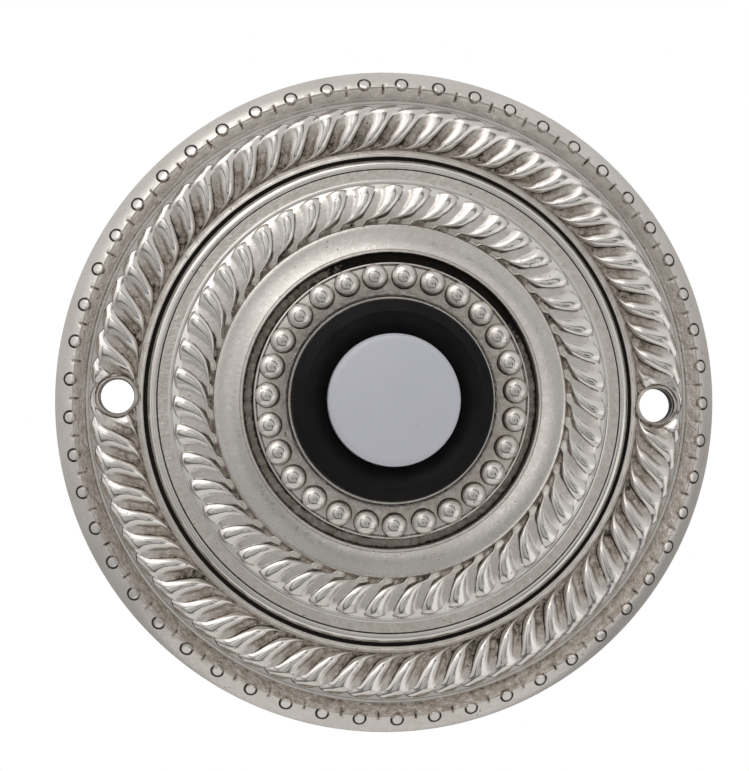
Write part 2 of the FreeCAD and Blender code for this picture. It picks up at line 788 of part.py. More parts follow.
def make_retaining_nut():
    body = new_body("retaining_nut")
    reach = "nut_reach"
    padded(body, "hexagon", draw_outline, polygon("0", "0", reach, 6, 30.0), "-nut_thickness", "0")
    bores = [("0", "0", "barrel_bore_radius")]
    pocketed(body, "bore", draw_circles, bores, "-nut_thickness - 1", "1")
    turned(body, "corner_chamfer", [
        (f"{reach} - nut_chamfer", "-nut_thickness - 0.1"),
        (f"{reach} + 0.5", "-nut_thickness - 0.1"),
        (f"{reach} + 0.5", "-nut_thickness + nut_chamfer * 0.7"),
    ], "PartDesign::Groove")
    return body


def check(bodies):
    """Stops the build where anything in the document failed or a part isn't one sound solid."""
    doc.recompute()
    failed = [o.Name for o in doc.Objects if {"Invalid", "Error"} & set(o.State)]
    if failed:
        raise RuntimeError(f"failed objects: {failed}")
    for body in bodies:
        shape = body.Shape
        if shape.isNull() or not shape.isValid() or len(shape.Solids) != 1:
            raise RuntimeError(f"{body.Label} isn't one sound solid")


bodies = [
    make_back_plate(),
    make_centre_rosette(),
    make_beaded_collar(),
    make_switch_housing(),
    make_lock_washer(),
    make_retaining_nut(),
    make_button_cap(),
    make_contact_carrier(),
    make_moving_contact(),
    make_contact_eyelet(),
    make_terminal_base(),
    make_base_retaining_ring(),
    make_return_spring(),
]
for side in ("left", "right"):
    bodies += [make(side) for make in (
        make_fixed_contact, make_terminal_nut, make_terminal_washer, make_terminal_screw,
    )]
check(bodies)
os.makedirs("parts", exist_ok=True)
for body in bodies:
    body.Shape.exportStep(f"parts/{body.Label}.step")
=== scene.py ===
"""Looks of a round doorbell push: cast rings with ropes and beads, a black housing, a white button."""

import json
import math
import random

import bmesh
import bpy
import numpy as np
from mathutils import Matrix, Vector


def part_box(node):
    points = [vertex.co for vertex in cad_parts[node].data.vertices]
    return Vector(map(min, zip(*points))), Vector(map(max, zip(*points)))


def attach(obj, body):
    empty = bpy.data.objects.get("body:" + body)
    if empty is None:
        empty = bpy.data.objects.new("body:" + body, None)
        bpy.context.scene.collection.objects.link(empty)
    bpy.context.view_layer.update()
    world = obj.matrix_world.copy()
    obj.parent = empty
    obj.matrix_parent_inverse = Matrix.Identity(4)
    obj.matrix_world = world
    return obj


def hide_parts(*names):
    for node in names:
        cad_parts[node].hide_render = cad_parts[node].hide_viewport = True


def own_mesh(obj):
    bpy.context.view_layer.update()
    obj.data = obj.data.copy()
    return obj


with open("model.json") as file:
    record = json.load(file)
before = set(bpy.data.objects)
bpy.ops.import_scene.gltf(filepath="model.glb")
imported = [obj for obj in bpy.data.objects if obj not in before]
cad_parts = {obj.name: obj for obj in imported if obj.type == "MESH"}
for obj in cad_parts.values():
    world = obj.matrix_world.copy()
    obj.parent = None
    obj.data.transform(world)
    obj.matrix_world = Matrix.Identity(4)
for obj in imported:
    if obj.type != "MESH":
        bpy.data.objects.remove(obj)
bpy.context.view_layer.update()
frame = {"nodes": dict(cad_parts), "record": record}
random.seed(7)

MM = 0.001
FULL = 2 * math.pi

screws = frame["record"]["mounts"][0]["dims"]
SCREW_OFFSET = screws["spacing_x_mm"] / 2
SCREW_RADIUS = screws["hole_r_mm"]


# Places on the push, in mm: radius from its axis, turn clockwise from twelve o'clock, height above the wall


def place(radius, turn, height):
    """Points of the frame from radius, turn in radians and height."""
    radius, turn, height = np.broadcast_arrays(radius, turn, height)
    return np.stack([radius * np.sin(turn), -height, radius * np.cos(turn)], axis=-1)


def blend(low, high, value):
    """A smooth step from 0 at low to 1 at high."""
    share = np.clip((value - low) / (high - low), 0.0, 1.0)
    return share * share * (3 - 2 * share)


def softened(corners, steps=4):
    """A profile of (radius, height, cavity, rounding) corners, rounded, as rows of radius, height, cavity."""
    rows = []
    count = len(corners)
    for index, (radius, height, cavity, rounding) in enumerate(corners):
        here = np.array([radius, height])
        before = np.array(corners[index - 1][:2]) - here
        after = np.array(corners[(index + 1) % count][:2]) - here
        reach_before, reach_after = np.linalg.norm(before), np.linalg.norm(after)
        if rounding <= 0 or reach_before == 0 or reach_after == 0:
            rows.append((radius, height, cavity))
            continue
        start = here + before / reach_before * min(rounding, reach_before * 0.48)
        end = here + after / reach_after * min(rounding, reach_after * 0.48)
        for step in range(steps + 1):
            share = step / steps
            point = (1 - share) ** 2 * start + 2 * share * (1 - share) * here + share**2 * end
            rows.append((point[0], point[1], cavity))
    return np.array(rows)


def bow(start, end, bulge, cavity=0.0, steps=8):
    """Profile corners on an arc between two (radius, height) points, bulging to the left of the way."""
    start, end = np.array(start, float), np.array(end, float)
    way = end - start
    side = np.array([-way[1], way[0]]) / np.linalg.norm(way)
    rows = []
    for step in range(steps + 1):
        share = step / steps
        point = start + way * share + side * bulge * 4 * share * (1 - share)
        rows.append((point[0], point[1], cavity, 0.0))
    return rows


class Shape:
    """Closed bodies of one piece: points in mm, faces, and how dark each point is painted, with brown patina
    and painted shade.
    """

    def __init__(self):
        self.points = []
        self.faces = []
        self.cavity = []
        self.total = 0

    def add(self, points, faces, cavity):
        self.points.append(np.asarray(points, float).reshape(-1, 3))
        self.faces.extend(tuple(self.total + corner for corner in face) for face in faces)
        self.cavity.append(np.asarray(cavity, float).reshape(-1))
        self.total += len(self.points[-1])

    def grid(self, points, cavity, wrap_rows=True, wrap_columns=True, cap_ends=False):
        """Quads over rows and columns of points."""
        rows, columns = points.shape[:2]
        faces = []
        for row in range(rows if wrap_rows else rows - 1):
            below = (row + 1) % rows
            for column in range(columns if wrap_columns else columns - 1):
                right = (column + 1) % columns
                faces.append(
                    (
                        row * columns + column,
                        row * columns + right,
                        below * columns + right,
                        below * columns + column,
                    )
                )
        if cap_ends:
            faces.append(tuple(range(columns)))
            faces.append(tuple((rows - 1) * columns + column for column in reversed(range(columns))))
        self.add(points, faces, np.broadcast_to(cavity, points.shape[:2]))

    def lathe(self, profile, columns):
        """A ring turned about the push's axis from rows of radius, height, cavity."""
        turns = np.arange(columns) / columns * FULL
        points = place(profile[:, :1], turns[None, :], profile[:, 1:2])
        self.grid(points, profile[:, 2:3] * np.ones((1, columns)))

    def dome(self, centre, radius, squash, rings, segments, foot):
        """A ball's front half with a straight foot, closed at its pole, darker towards the push's axis."""
        angles = np.linspace(0, math.pi / 2, rings + 1)[:-1]
        rows = [(radius, -foot)] + [(radius * math.cos(a), radius * squash * math.sin(a)) for a in angles]
        rows = np.array(rows)
        rise = np.concatenate([[0.0], angles])[:, None]
        around = np.arange(segments) / segments * FULL
        inward = -(np.cos(around) * centre[0] + np.sin(around) * centre[2]) / math.hypot(centre[0], centre[2])
        # Painted shade with patina on each bead: darker round its foot and on the side towards the push's axis.
        edge = blend(0.5, 0.2, rise) * np.ones((1, segments))
        shaded = 0.52 * blend(-0.5, 0.9, inward)[None, :] * blend(1.1, 0.4, rise)
        across = rows[:, :1] * np.cos(around)
        up = rows[:, :1] * np.sin(around)
        depth = centre[1] - rows[:, 1:2] * np.ones_like(across)
        points = np.stack([centre[0] + across, depth, centre[2] + up], axis=-1)
        first = self.total
        self.grid(points, np.clip(edge + shaded, 0, 1), wrap_rows=False)
        tip = (centre[0], centre[1] - radius * squash, centre[2])
        self.close(first + (len(rows) - 1) * segments, segments, tip)
        self.faces.append(tuple(first + column for column in reversed(range(segments))))

    def close(self, ring, segments, tip):
        """A fan of triangles from a ring of points, given by its first one, to a tip."""
        self.add([tip], [], [0.0])
        pole = self.total - 1
        for column in range(segments):
            self.faces.append((ring + column, ring + (column + 1) % segments, pole))

    def mesh(self, name):
        data = bpy.data.meshes.new(name)
        points = np.concatenate(self.points) * MM
        data.from_pydata([tuple(point) for point in points.tolist()], [], self.faces)
        # This attribute holds brown patina in the recesses together with painted shade and painted light.
        depth = data.attributes.new("cavity", "FLOAT", "POINT")
        depth.data.foreach_set("value", np.clip(np.concatenate(self.cavity), 0, 1).astype(np.float32))
        work = bmesh.new()
        work.from_mesh(data)
        bmesh.ops.recalc_face_normals(work, faces=work.faces)
        work.to_mesh(data)
        work.free()
        return data

    def object(self, name):
        thing = bpy.data.objects.new(name, self.mesh(name))
        bpy.context.scene.collection.objects.link(thing)
        return thing


def finish_piece(thing, material, body, slot, *nodes, angle=38):
    """Smooth shading with sharp edges, the material, and the node that the piece stands for."""
    data = thing.data
    data.materials.clear()
    data.materials.append(material)
    data.polygons.foreach_set("use_smooth", [True] * len(data.polygons))
    data.set_sharp_from_angle(angle=math.radians(angle))
    data.update()
    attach(thing, body)
    if nodes:
        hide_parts(*nodes)


def cut(thing, cutters):
    """Takes the cutters' bodies out of the thing's mesh."""
    for cutter in cutters:
        step = thing.modifiers.new("cut", "BOOLEAN")
        step.operation = "DIFFERENCE"
        step.solver = "EXACT"
        step.object = cutter
    graph = bpy.context.evaluated_depsgraph_get()
    graph.update()
    data = bpy.data.meshes.new_from_object(thing.evaluated_get(graph))
    thing.modifiers.clear()
    thing.data = data


def joined(things, name):
    """One object from several."""
    bpy.context.view_layer.update()
    work = bmesh.new()
    for thing in things:
        work.from_mesh(thing.data)
    data = bpy.data.meshes.new(name)
    work.to_mesh(data)
    work.free()
    for thing in things:
        bpy.data.objects.remove(thing)
    whole = bpy.data.objects.new(name, data)
    bpy.context.scene.collection.objects.link(whole)
    return whole


def spindle(profile, centre, columns):
    """A closed body of revolution about a line through centre along the push's axis."""
    shape = Shape()
    around = np.arange(columns) / columns * FULL
    rows = np.array(profile, float)
    across = rows[:, :1] * np.cos(around)
    up = rows[:, :1] * np.sin(around)
    points = np.stack([centre[0] + across, -rows[:, 1:2] * np.ones_like(across), centre[1] + up], axis=-1)
    shape.grid(points, 0.0, wrap_rows=False, cap_ends=True)
    return shape.object("spindle")


# Materials


class Paint:
    """A material's node tree with short ways to add its nodes."""

    def __init__(self, name):
        self.material = bpy.data.materials.new(name)
        self.material.use_nodes = True
        self.tree = self.material.node_tree
        self.shader = self.tree.nodes["Principled BSDF"]
        place_node = self.tree.nodes.new("ShaderNodeTexCoord")
        self.spot = place_node.outputs["Object"]

    def node(self, kind, **settings):
        made = self.tree.nodes.new(kind)
        for key, value in settings.items():
            setattr(made, key, value)
        return made

    def link(self, start, end):
        self.tree.links.new(start, end)

    def noise(self, scale, detail=4.0, roughness=0.55):
        made = self.node("ShaderNodeTexNoise")
        made.inputs["Scale"].default_value = scale
        made.inputs["Detail"].default_value = detail
        made.inputs["Roughness"].default_value = roughness
        self.link(self.spot, made.inputs["Vector"])
        return made.outputs["Fac"]

    def ranged(self, value, low, high, start=0.0, end=1.0):
        made = self.node("ShaderNodeMapRange")
        made.inputs["From Min"].default_value = low
        made.inputs["From Max"].default_value = high
        made.inputs["To Min"].default_value = start
        made.inputs["To Max"].default_value = end
        self.link(value, made.inputs["Value"])
        return made.outputs["Result"]

    def sum(self, first, second, operation="ADD"):
        made = self.node("ShaderNodeMath", operation=operation)
        made.use_clamp = True
        for value, socket in ((first, made.inputs[0]), (second, made.inputs[1])):
            if isinstance(value, (int, float)):
                socket.default_value = value
            else:
                self.link(value, socket)
        return made.outputs[0]

    def mixed(self, share, first, second):
        made = self.node("ShaderNodeMix", data_type="RGBA")
        self.link(share, made.inputs["Factor"])
        for value, socket in ((first, made.inputs["A"]), (second, made.inputs["B"])):
            if isinstance(value, tuple):
                socket.default_value = (*value, 1.0)
            else:
                self.link(value, socket)
        return made.outputs["Result"]

    def bump(self, height, strength, distance, before=None):
        made = self.node("ShaderNodeBump")
        made.inputs["Strength"].default_value = strength
        made.inputs["Distance"].default_value = distance
        self.link(height, made.inputs["Height"])
        if before is not None:
            self.link(before, made.inputs["Normal"])
        return made.outputs["Normal"]

    def pits(self, scale, low, high):
        """Small round pits: 1 in a pit, 0 elsewhere."""
        made = self.node("ShaderNodeTexVoronoi", feature="F1")
        made.inputs["Scale"].default_value = scale
        self.link(self.spot, made.inputs["Vector"])
        return self.ranged(made.outputs["Distance"], low, high, 1.0, 0.0)


# Near-black for the deepest recesses and gaps: painted shade, with the dark grime that lies there.
SHADE_AND_SOOT = (0.012, 0.009, 0.007)


def cast_metal(name, light, shade, patina, smooth=0.1, satin=0.3, rough=0.6, grain=0.14, recess=True):
    """A cast and plated metal: tone changes, brown patina in the recesses that turns to black painted shade in
    the deepest ones, pits and a fine grain.
    """
    paint = Paint(name)
    cloud = paint.noise(170.0, 5.0)
    grain_fine = paint.noise(2600.0, 3.0, 0.6)
    tone = paint.mixed(paint.ranged(cloud, 0.3, 0.7), light, shade)
    if recess:
        depth = paint.node("ShaderNodeAttribute", attribute_name="cavity").outputs["Fac"]
    else:
        depth = paint.ranged(cloud, 0.55, 0.85, 0.0, 0.4)
    blotch = paint.ranged(paint.noise(1300.0, 5.0, 0.7), 0.36, 0.64, 0.45, 1.4)
    # Brown patina from the recess tone, plus painted shade that pushes the deepest places on towards black.
    dirt_and_shade = paint.sum(paint.sum(depth, blotch, "MULTIPLY"), paint.ranged(depth, 0.85, 0.97, 0.0, 0.6))
    speck = paint.pits(1500.0, 0.08, 0.2)
    rare = paint.sum(speck, paint.ranged(paint.noise(420.0, 2.0), 0.52, 0.66), "MULTIPLY")
    stain = paint.sum(dirt_and_shade, paint.sum(rare, 0.75, "MULTIPLY"), "ADD")
    browned = paint.mixed(paint.ranged(stain, 0.0, 0.6), tone, patina)
    blackened = paint.mixed(paint.ranged(stain, 0.6, 0.95), browned, SHADE_AND_SOOT)
    paint.link(blackened, paint.shader.inputs["Base Color"])
    dulled = paint.ranged(stain, 0.1, 0.6, 0.0, rough - satin)
    worn = paint.sum(paint.ranged(stain, 0.0, 0.1, smooth, satin), dulled)
    worn = paint.sum(worn, paint.ranged(grain_fine, 0.3, 0.7, 0.0, 0.05))
    paint.link(worn, paint.shader.inputs["Roughness"])
    paint.link(paint.ranged(stain, 0.6, 0.95, 1.0, 0.2), paint.shader.inputs["Metallic"])
    uneven = paint.bump(paint.noise(700.0, 3.0), grain, 0.00012)
    grained = paint.bump(grain_fine, grain * 0.5, 0.00003, uneven)
    pitted = paint.bump(paint.ranged(rare, 0.0, 1.0, 1.0, 0.0), 0.6, 0.00006, grained)
    coarse = paint.sum(paint.noise(1800.0, 4.0, 0.7), paint.ranged(depth, 0.06, 0.4), "MULTIPLY")
    paint.link(paint.bump(coarse, 0.8, 0.0003, pitted), paint.shader.inputs["Normal"])
    return paint.material


def moulded(name, light, shade, roughness, grain, scale=900.0, metallic=0.0, coat=0.0, gloss=0.5):
    """Moulded plastic, enamel or plain metal with slight tone changes and a fine surface."""
    paint = Paint(name)
    cloud = paint.noise(scale / 6, 4.0)
    paint.link(paint.mixed(paint.ranged(cloud, 0.3, 0.7), light, shade), paint.shader.inputs["Base Color"])
    surface = paint.noise(scale, 4.0, 0.6)
    gloss_range = paint.ranged(surface, 0.3, 0.7, roughness * 0.85, roughness * 1.15)
    paint.link(gloss_range, paint.shader.inputs["Roughness"])
    paint.link(paint.bump(surface, grain, 0.00004), paint.shader.inputs["Normal"])
    paint.shader.inputs["Metallic"].default_value = metallic
    paint.shader.inputs["Coat Weight"].default_value = coat
    paint.shader.inputs["Specular IOR Level"].default_value = gloss
    return paint.material


plate_metal = cast_metal("plate_metal", (0.78, 0.74, 0.70), (0.68, 0.64, 0.60), (0.43, 0.365, 0.305))
rosette_metal = cast_metal("rosette_metal", (0.78, 0.745, 0.705), (0.69, 0.655, 0.615), (0.44, 0.38, 0.32))
collar_metal = cast_metal("collar_metal", (0.74, 0.70, 0.66), (0.60, 0.56, 0.52), (0.36, 0.29, 0.23))
black_metal = moulded(
    "black_metal", (0.004, 0.004, 0.0045), (0.008, 0.008, 0.0085),
    roughness=0.5, grain=0.3, scale=3000.0, gloss=0.12,
)
button_white = moulded(
    "button_white", (0.59, 0.595, 0.64), (0.56, 0.565, 0.61),
    roughness=0.32, grain=0.08, scale=500.0, coat=0.15,
)
carrier_plastic = moulded("carrier_plastic", (0.10, 0.05, 0.028), (0.07, 0.035, 0.02), 0.4, grain=0.2)
base_plastic = moulded("base_plastic", (0.085, 0.042, 0.022), (0.06, 0.03, 0.016), 0.38, grain=0.2)
washer_steel, nut_brass, contact_brass, spring_steel = (
    cast_metal(name, light, shade, patina, recess=False)
    for name, light, shade, patina in (
        ("washer_steel", (0.60, 0.61, 0.62), (0.50, 0.51, 0.52), (0.2, 0.19, 0.18)),
        ("nut_brass", (0.78, 0.60, 0.30), (0.66, 0.48, 0.22), (0.25, 0.16, 0.07)),
        ("contact_brass", (0.80, 0.60, 0.30), (0.7, 0.5, 0.24), (0.3, 0.2, 0.1)),
        ("spring_steel", (0.5, 0.51, 0.53), (0.42, 0.43, 0.45), (0.2, 0.2, 0.2)),
    )
)


# Rope mouldings


def curve_through(values, places, heights):
    """A smooth curve through points, with level ends, read at values."""
    places, heights = np.array(places, float), np.array(heights, float)
    slopes = np.zeros_like(heights)
    slopes[1:-1] = (heights[2:] - heights[:-2]) / (places[2:] - places[:-2])
    rising = np.diff(heights)
    turning = np.concatenate([[True], rising[1:] * rising[:-1] <= 0, [True]])
    slopes[turning] = 0.0
    slopes[0], slopes[-1] = rising[0] / (places[1] - places[0]), rising[-1] / (places[-1] - places[-2])
    values = np.clip(values, places[0], places[-1])
    index = np.clip(np.searchsorted(places, values, side="right") - 1, 0, len(places) - 2)
    span = places[index + 1] - places[index]
    share = (values - places[index]) / span
    return (
        (1 + 2 * share) * (1 - share) ** 2 * heights[index]
        + share * (1 - share) ** 2 * span * slopes[index]
        + share**2 * (3 - 2 * share) * heights[index + 1]
        + share**2 * (share - 1) * span * slopes[index + 1]
    )


class Strand:
    """A strand of a rope moulding and the ground beside it, given as curves of height, width, and patina with
    painted shade.

    Along runs from the strand's inner tip, 0, to its outer end, 1. Across runs from the crease of the strand
    before, 0, over the ground to the strand's own crease, 1.
    """

    PEAK = 0.62

    def __init__(self, along, across, **curves):
        self.along = np.array(along)
        self.across = np.array(across)
        self.curves = curves

    def curve(self, name):
        """A curve along the strand, as a column."""
        return curve_through(self.along, *self.curves[name])[:, None]

    def share(self):
        """Where each place lies over the strand's own width: 0 at its foot, 1 at its crease."""
        width = self.curve("width")
        return np.clip((self.across[None, :] - 1 + width) / width, 0, 1)

    def ground(self):
        """The ground's height, which is lower in the hollow beside the crease."""
        reach = self.curve("reach")
        beside = blend(reach + 0.07, reach - 0.07, self.across[None, :])
        return self.curve("ground") - self.curve("hollow") * beside

    def rise(self):
        """How far the strand stands over its ground."""
        share = self.share()
        before = np.clip(share / self.PEAK, 0, 1)
        beyond = np.clip(share - self.PEAK, 0, 1) / (1 - self.PEAK)
        rounded = (1 - (1 - before) ** 2) * blend(-0.12, 0.3, before) * (1 - self.curve("fall") * beyond**2)
        return (self.curve("crest") - self.ground()) * rounded * blend(-0.01, 0.01, share)

    def tone(self):
        """How dark the patina and painted shade lie: a painted shade line along the crease, and brown patina
        with painted shade on the ground and in the hollow.
        """
        across = self.across[None, :]
        reach = self.curve("reach")
        # Painted shade with patina: a dark line along each strand's crease.
        crease = self.curve("crease") * np.exp(-((across / 0.028) ** 2))
        ground = self.curve("stain") * blend(0.36, 0.0, self.share())
        hollow = self.curve("hollow") * blend(reach + 0.1, reach - 0.05, across)
        return np.clip(crease + ground + hollow, 0, 1)


def rope_ring(shape, strand, count, inner, outer, floor, lift, bottom, phase, seed, calm=None):
    """A ring of slanting strands on a floor whose height is a function of the radius."""
    chance = random.Random(seed)
    pitch = FULL / count
    along, across = strand.along, strand.across
    bend = curve_through(along, *strand.curves["path"])
    ends = curve_through(across, *strand.curves["ends"])
    radii = inner + (outer - inner) * along[:, None] - ends[None, :] * blend(0.55, 1.0, along)[:, None]
    ground, rise, tone = strand.ground(), strand.rise(), strand.tone()
    if "crown" in strand.curves:
        crown = curve_through(across, *strand.curves["crown"])[None, :]
        rise = rise * blend(crown + 0.03, crown - 0.1, radii)
        # Painted shade: a thin dark line round each strand's rounded outer end, where it drops to the ground.
        line = np.exp(-(((radii - crown - 0.03) / 0.045) ** 2)) * blend(0.42, 0.5, across)[None, :]
        tone = np.clip(tone * blend(crown + 0.2, crown, radii) + 0.85 * line, 0, 1)
    turns, heights, tones = [], [], []
    for index in range(count):
        own = phase + (index + chance.uniform(-0.004, 0.004)) * pitch
        turns.append(own + (across[None, :] + bend[:, None]) * pitch)
        heights.append(ground + rise * chance.uniform(0.95, 1.04))
        tones.append(np.clip(tone * chance.uniform(0.8, 1.15), 0, 1))
    turns = np.concatenate(turns, axis=1)
    heights = np.concatenate(heights, axis=1) * lift
    tone = np.concatenate(tones, axis=1)
    radii = np.tile(radii, (1, count))
    if calm is not None:
        heights = heights * calm(radii, turns)
    low = floor(radii[-1:])
    # Painted shade with patina under the strands' outer ends: the rows of the step below them are darkened.
    step = np.tile(0.55 + 0.4 * blend(0.3, 0.8, across), count)[None, :]
    rows = [place(radii, turns, floor(radii) + heights)]
    foot = (
        (0.03, low + heights[-1:] * 0.5),
        (0.04, low + 0.004),
        (0.15, low + 0.004),
        (0.17, np.full_like(low, bottom)),
    )
    for beyond, height in foot:
        rows.append(place(radii[-1:] + beyond, turns[-1:], height))
    rows.append(place(radii[:1], turns[:1], np.full_like(low, bottom)))
    shape.grid(np.concatenate(rows), np.concatenate([tone, 0.7 * step, step, 0.7 * step, step, step]))


outer_strand = Strand(
    along=[
        0, 0.015, 0.03, 0.05, 0.075, 0.1, 0.13, 0.165, 0.2, 0.24, 0.28, 0.33, 0.38, 0.43, 0.48, 0.53,
        0.58, 0.63, 0.68, 0.725, 0.77, 0.81, 0.845, 0.875, 0.9, 0.92, 0.94, 0.955, 0.97, 0.985, 1.0,
    ],
    across=[
        0, 0.012, 0.03, 0.07, 0.13, 0.2, 0.27, 0.34, 0.4, 0.45, 0.5, 0.56, 0.62, 0.68, 0.74, 0.8, 0.86,
        0.91, 0.95, 0.975, 0.988,
    ],
    path=(
        [0, 0.03, 0.075, 0.147, 0.273, 0.424, 0.556, 0.737, 0.857, 0.94, 1.0],
        [-1.25, -0.88, -0.6, -0.36, -0.18, 0.0, 0.13, 0.27, 0.38, 0.53, 0.74],
    ),
    ends=([0, 0.1, 0.25, 0.5, 0.75, 0.9, 1.0], [0.53, 0.28, 0.08, 0.0, 0.08, 0.28, 0.53]),
    width=(
        [0, 0.08, 0.17, 0.3, 0.62, 0.78, 0.88, 0.95, 1.0],
        [0.3, 0.45, 0.56, 0.65, 0.68, 0.74, 0.82, 0.92, 1.0],
    ),
    crest=(
        [0, 0.04, 0.1, 0.2, 0.35, 0.5, 0.68, 0.82, 0.92, 1.0],
        [0.08, 0.3, 0.55, 0.82, 0.97, 1.0, 0.97, 0.84, 0.62, 0.32],
    ),
    ground=([0, 0.15, 0.35, 0.55, 0.7, 0.82, 0.92, 1.0], [0.04, 0.14, 0.27, 0.4, 0.5, 0.54, 0.46, 0.28]),
    fall=([0, 0.1, 0.5, 0.68, 0.8, 0.9, 1.0], [0.35, 0.4, 0.45, 0.6, 0.85, 1.0, 1.0]),
    hollow=([0, 0.1, 0.4, 0.65, 0.75, 1.0], [0.0, 0.06, 0.08, 0.03, 0.0, 0.0]),
    reach=([0, 1], [0.16, 0.16]),
    crease=([0, 0.05, 0.5, 0.65, 0.78, 0.9, 1.0], [0.5, 0.9, 1.0, 0.9, 0.6, 0.25, 0.0]),
    stain=([0, 0.1, 0.3, 0.45, 0.6, 0.75, 0.9, 1.0], [0.7, 0.64, 0.56, 0.44, 0.32, 0.18, 0.08, 0.08]),
)

inner_strand = Strand(
    along=[
        0, 0.03, 0.06, 0.09, 0.105, 0.12, 0.135, 0.15, 0.165, 0.18, 0.195, 0.21, 0.225, 0.24, 0.26,
        0.285, 0.31, 0.34, 0.37, 0.41, 0.45, 0.49, 0.54, 0.59, 0.64, 0.69, 0.74, 0.78, 0.82, 0.845, 0.865,
        0.88, 0.893, 0.906, 0.919, 0.932, 0.945, 0.958, 0.971, 0.984, 1.0,
    ],
    across=[
        0, 0.012, 0.03, 0.06, 0.1, 0.15, 0.2, 0.25, 0.3, 0.35, 0.4, 0.45, 0.49, 0.53, 0.58, 0.63, 0.68,
        0.73, 0.78, 0.83, 0.88, 0.92, 0.95, 0.975, 0.988,
    ],
    path=(
        [0, 0.033, 0.11, 0.142, 0.175, 0.215, 0.27, 0.36, 0.45, 0.567, 0.74, 0.9, 1.0],
        [-1.42, -1.37, -1.22, -0.99, -0.75, -0.58, -0.39, -0.24, -0.12, 0.0, 0.13, 0.21, 0.25],
    ),
    ends=([0, 1], [0.0, 0.0]),
    crown=(
        [0, 0.1, 0.2, 0.3, 0.45, 0.6, 0.8, 0.95, 1.0],
        [23.7, 23.8, 24.04, 24.32, 24.49, 24.57, 24.52, 24.4, 24.24],
    ),
    width=(
        [0, 0.1, 0.18, 0.27, 0.48, 0.65, 0.85, 0.95, 1.0],
        [0.05, 0.1, 0.3, 0.46, 0.6, 0.66, 0.76, 0.84, 0.86],
    ),
    crest=(
        [0, 0.11, 0.2, 0.32, 0.5, 0.68, 0.84, 1.0],
        [0.25, 0.35, 0.62, 0.86, 1.0, 1.0, 0.92, 0.75],
    ),
    ground=([0, 0.06, 0.12, 0.3, 0.55, 0.8, 1.0], [0.02, 0.14, 0.34, 0.5, 0.52, 0.4, 0.06]),
    fall=([0, 0.2, 0.6, 0.85, 1.0], [0.35, 0.45, 0.5, 0.65, 0.85]),
    hollow=([0, 0.05, 0.16, 0.26, 0.36, 1.0], [0.12, 0.34, 0.46, 0.34, 0.06, 0.0]),
    reach=([0, 0.034, 0.16, 0.25, 0.32, 1.0], [0.64, 0.6, 0.3, 0.1, 0.04, 0.04]),
    crease=([0, 0.1, 0.2, 0.5, 0.75, 0.9, 1.0], [0.05, 0.6, 1.0, 0.9, 0.65, 0.25, 0.0]),
    stain=([0, 0.15, 0.4, 0.7, 1.0], [0.3, 0.22, 0.14, 0.12, 0.06]),
)


def hole_distance(radii, turns):
    """Distance from the nearer screw hole's axis."""
    across, up = radii * np.sin(turns), radii * np.cos(turns)
    return np.hypot(np.abs(across) - SCREW_OFFSET, up)


# Wall plate

PLATE_RADIUS = 38.09
EDGE_HEIGHT = 0.9
CREST_RADIUS = 35.85
CREST_HEIGHT = 3.52
SLOPE_FOOT = 34.6
FLOOR_HEIGHT = 2.4
LAND_OUTER = 28.55
LAND_HEIGHT = 2.8
WELL_RADIUS = 28.05
WEB_HEIGHT = 2.2
RELIEF_HEIGHT = 0.7
RELIEF_TONE = 0.6
FOOT_INNER = 36.0
BORE_RADIUS = 9.65

PELLETS = 53
PELLET_PITCH = FULL / PELLETS
PELLET_TURN = math.radians(1.2)
PELLET_RADIUS = 0.66
PELLET_CIRCLE = CREST_RADIUS + 0.44
PELLET_RISE = 0.2
PELLET_SEGMENTS = 20
NOTCH_TURN = 0.13 / CREST_RADIUS
NOTCH_DEPTH = 0.2

PLATE_STRANDS = 64
PLATE_ROPE_INNER = 28.95
PLATE_ROPE_OUTER = 33.9
PLATE_ROPE_LIFT = 1.4

RING_RADIUS = 2.48
RING_HEIGHT = 3.0
LEDGE_HEIGHT = 2.5
HOLE_SEGMENTS = 72


def rim_height(radius):
    """The rim's surface: a convex bevel outside the crest and a slope inside it."""
    outward = np.clip((radius - CREST_RADIUS) / (PLATE_RADIUS - CREST_RADIUS), 0, 1)
    bevel = CREST_HEIGHT - (CREST_HEIGHT - EDGE_HEIGHT) * (0.42 * outward + 0.58 * outward**2.4)
    inward = np.clip((CREST_RADIUS - radius) / (CREST_RADIUS - SLOPE_FOOT), 0, 1)
    slope = CREST_HEIGHT - (CREST_HEIGHT - FLOOR_HEIGHT) * (0.75 * inward + 0.25 * blend(0.0, 1.0, inward))
    return np.where(radius > CREST_RADIUS, bevel, slope)


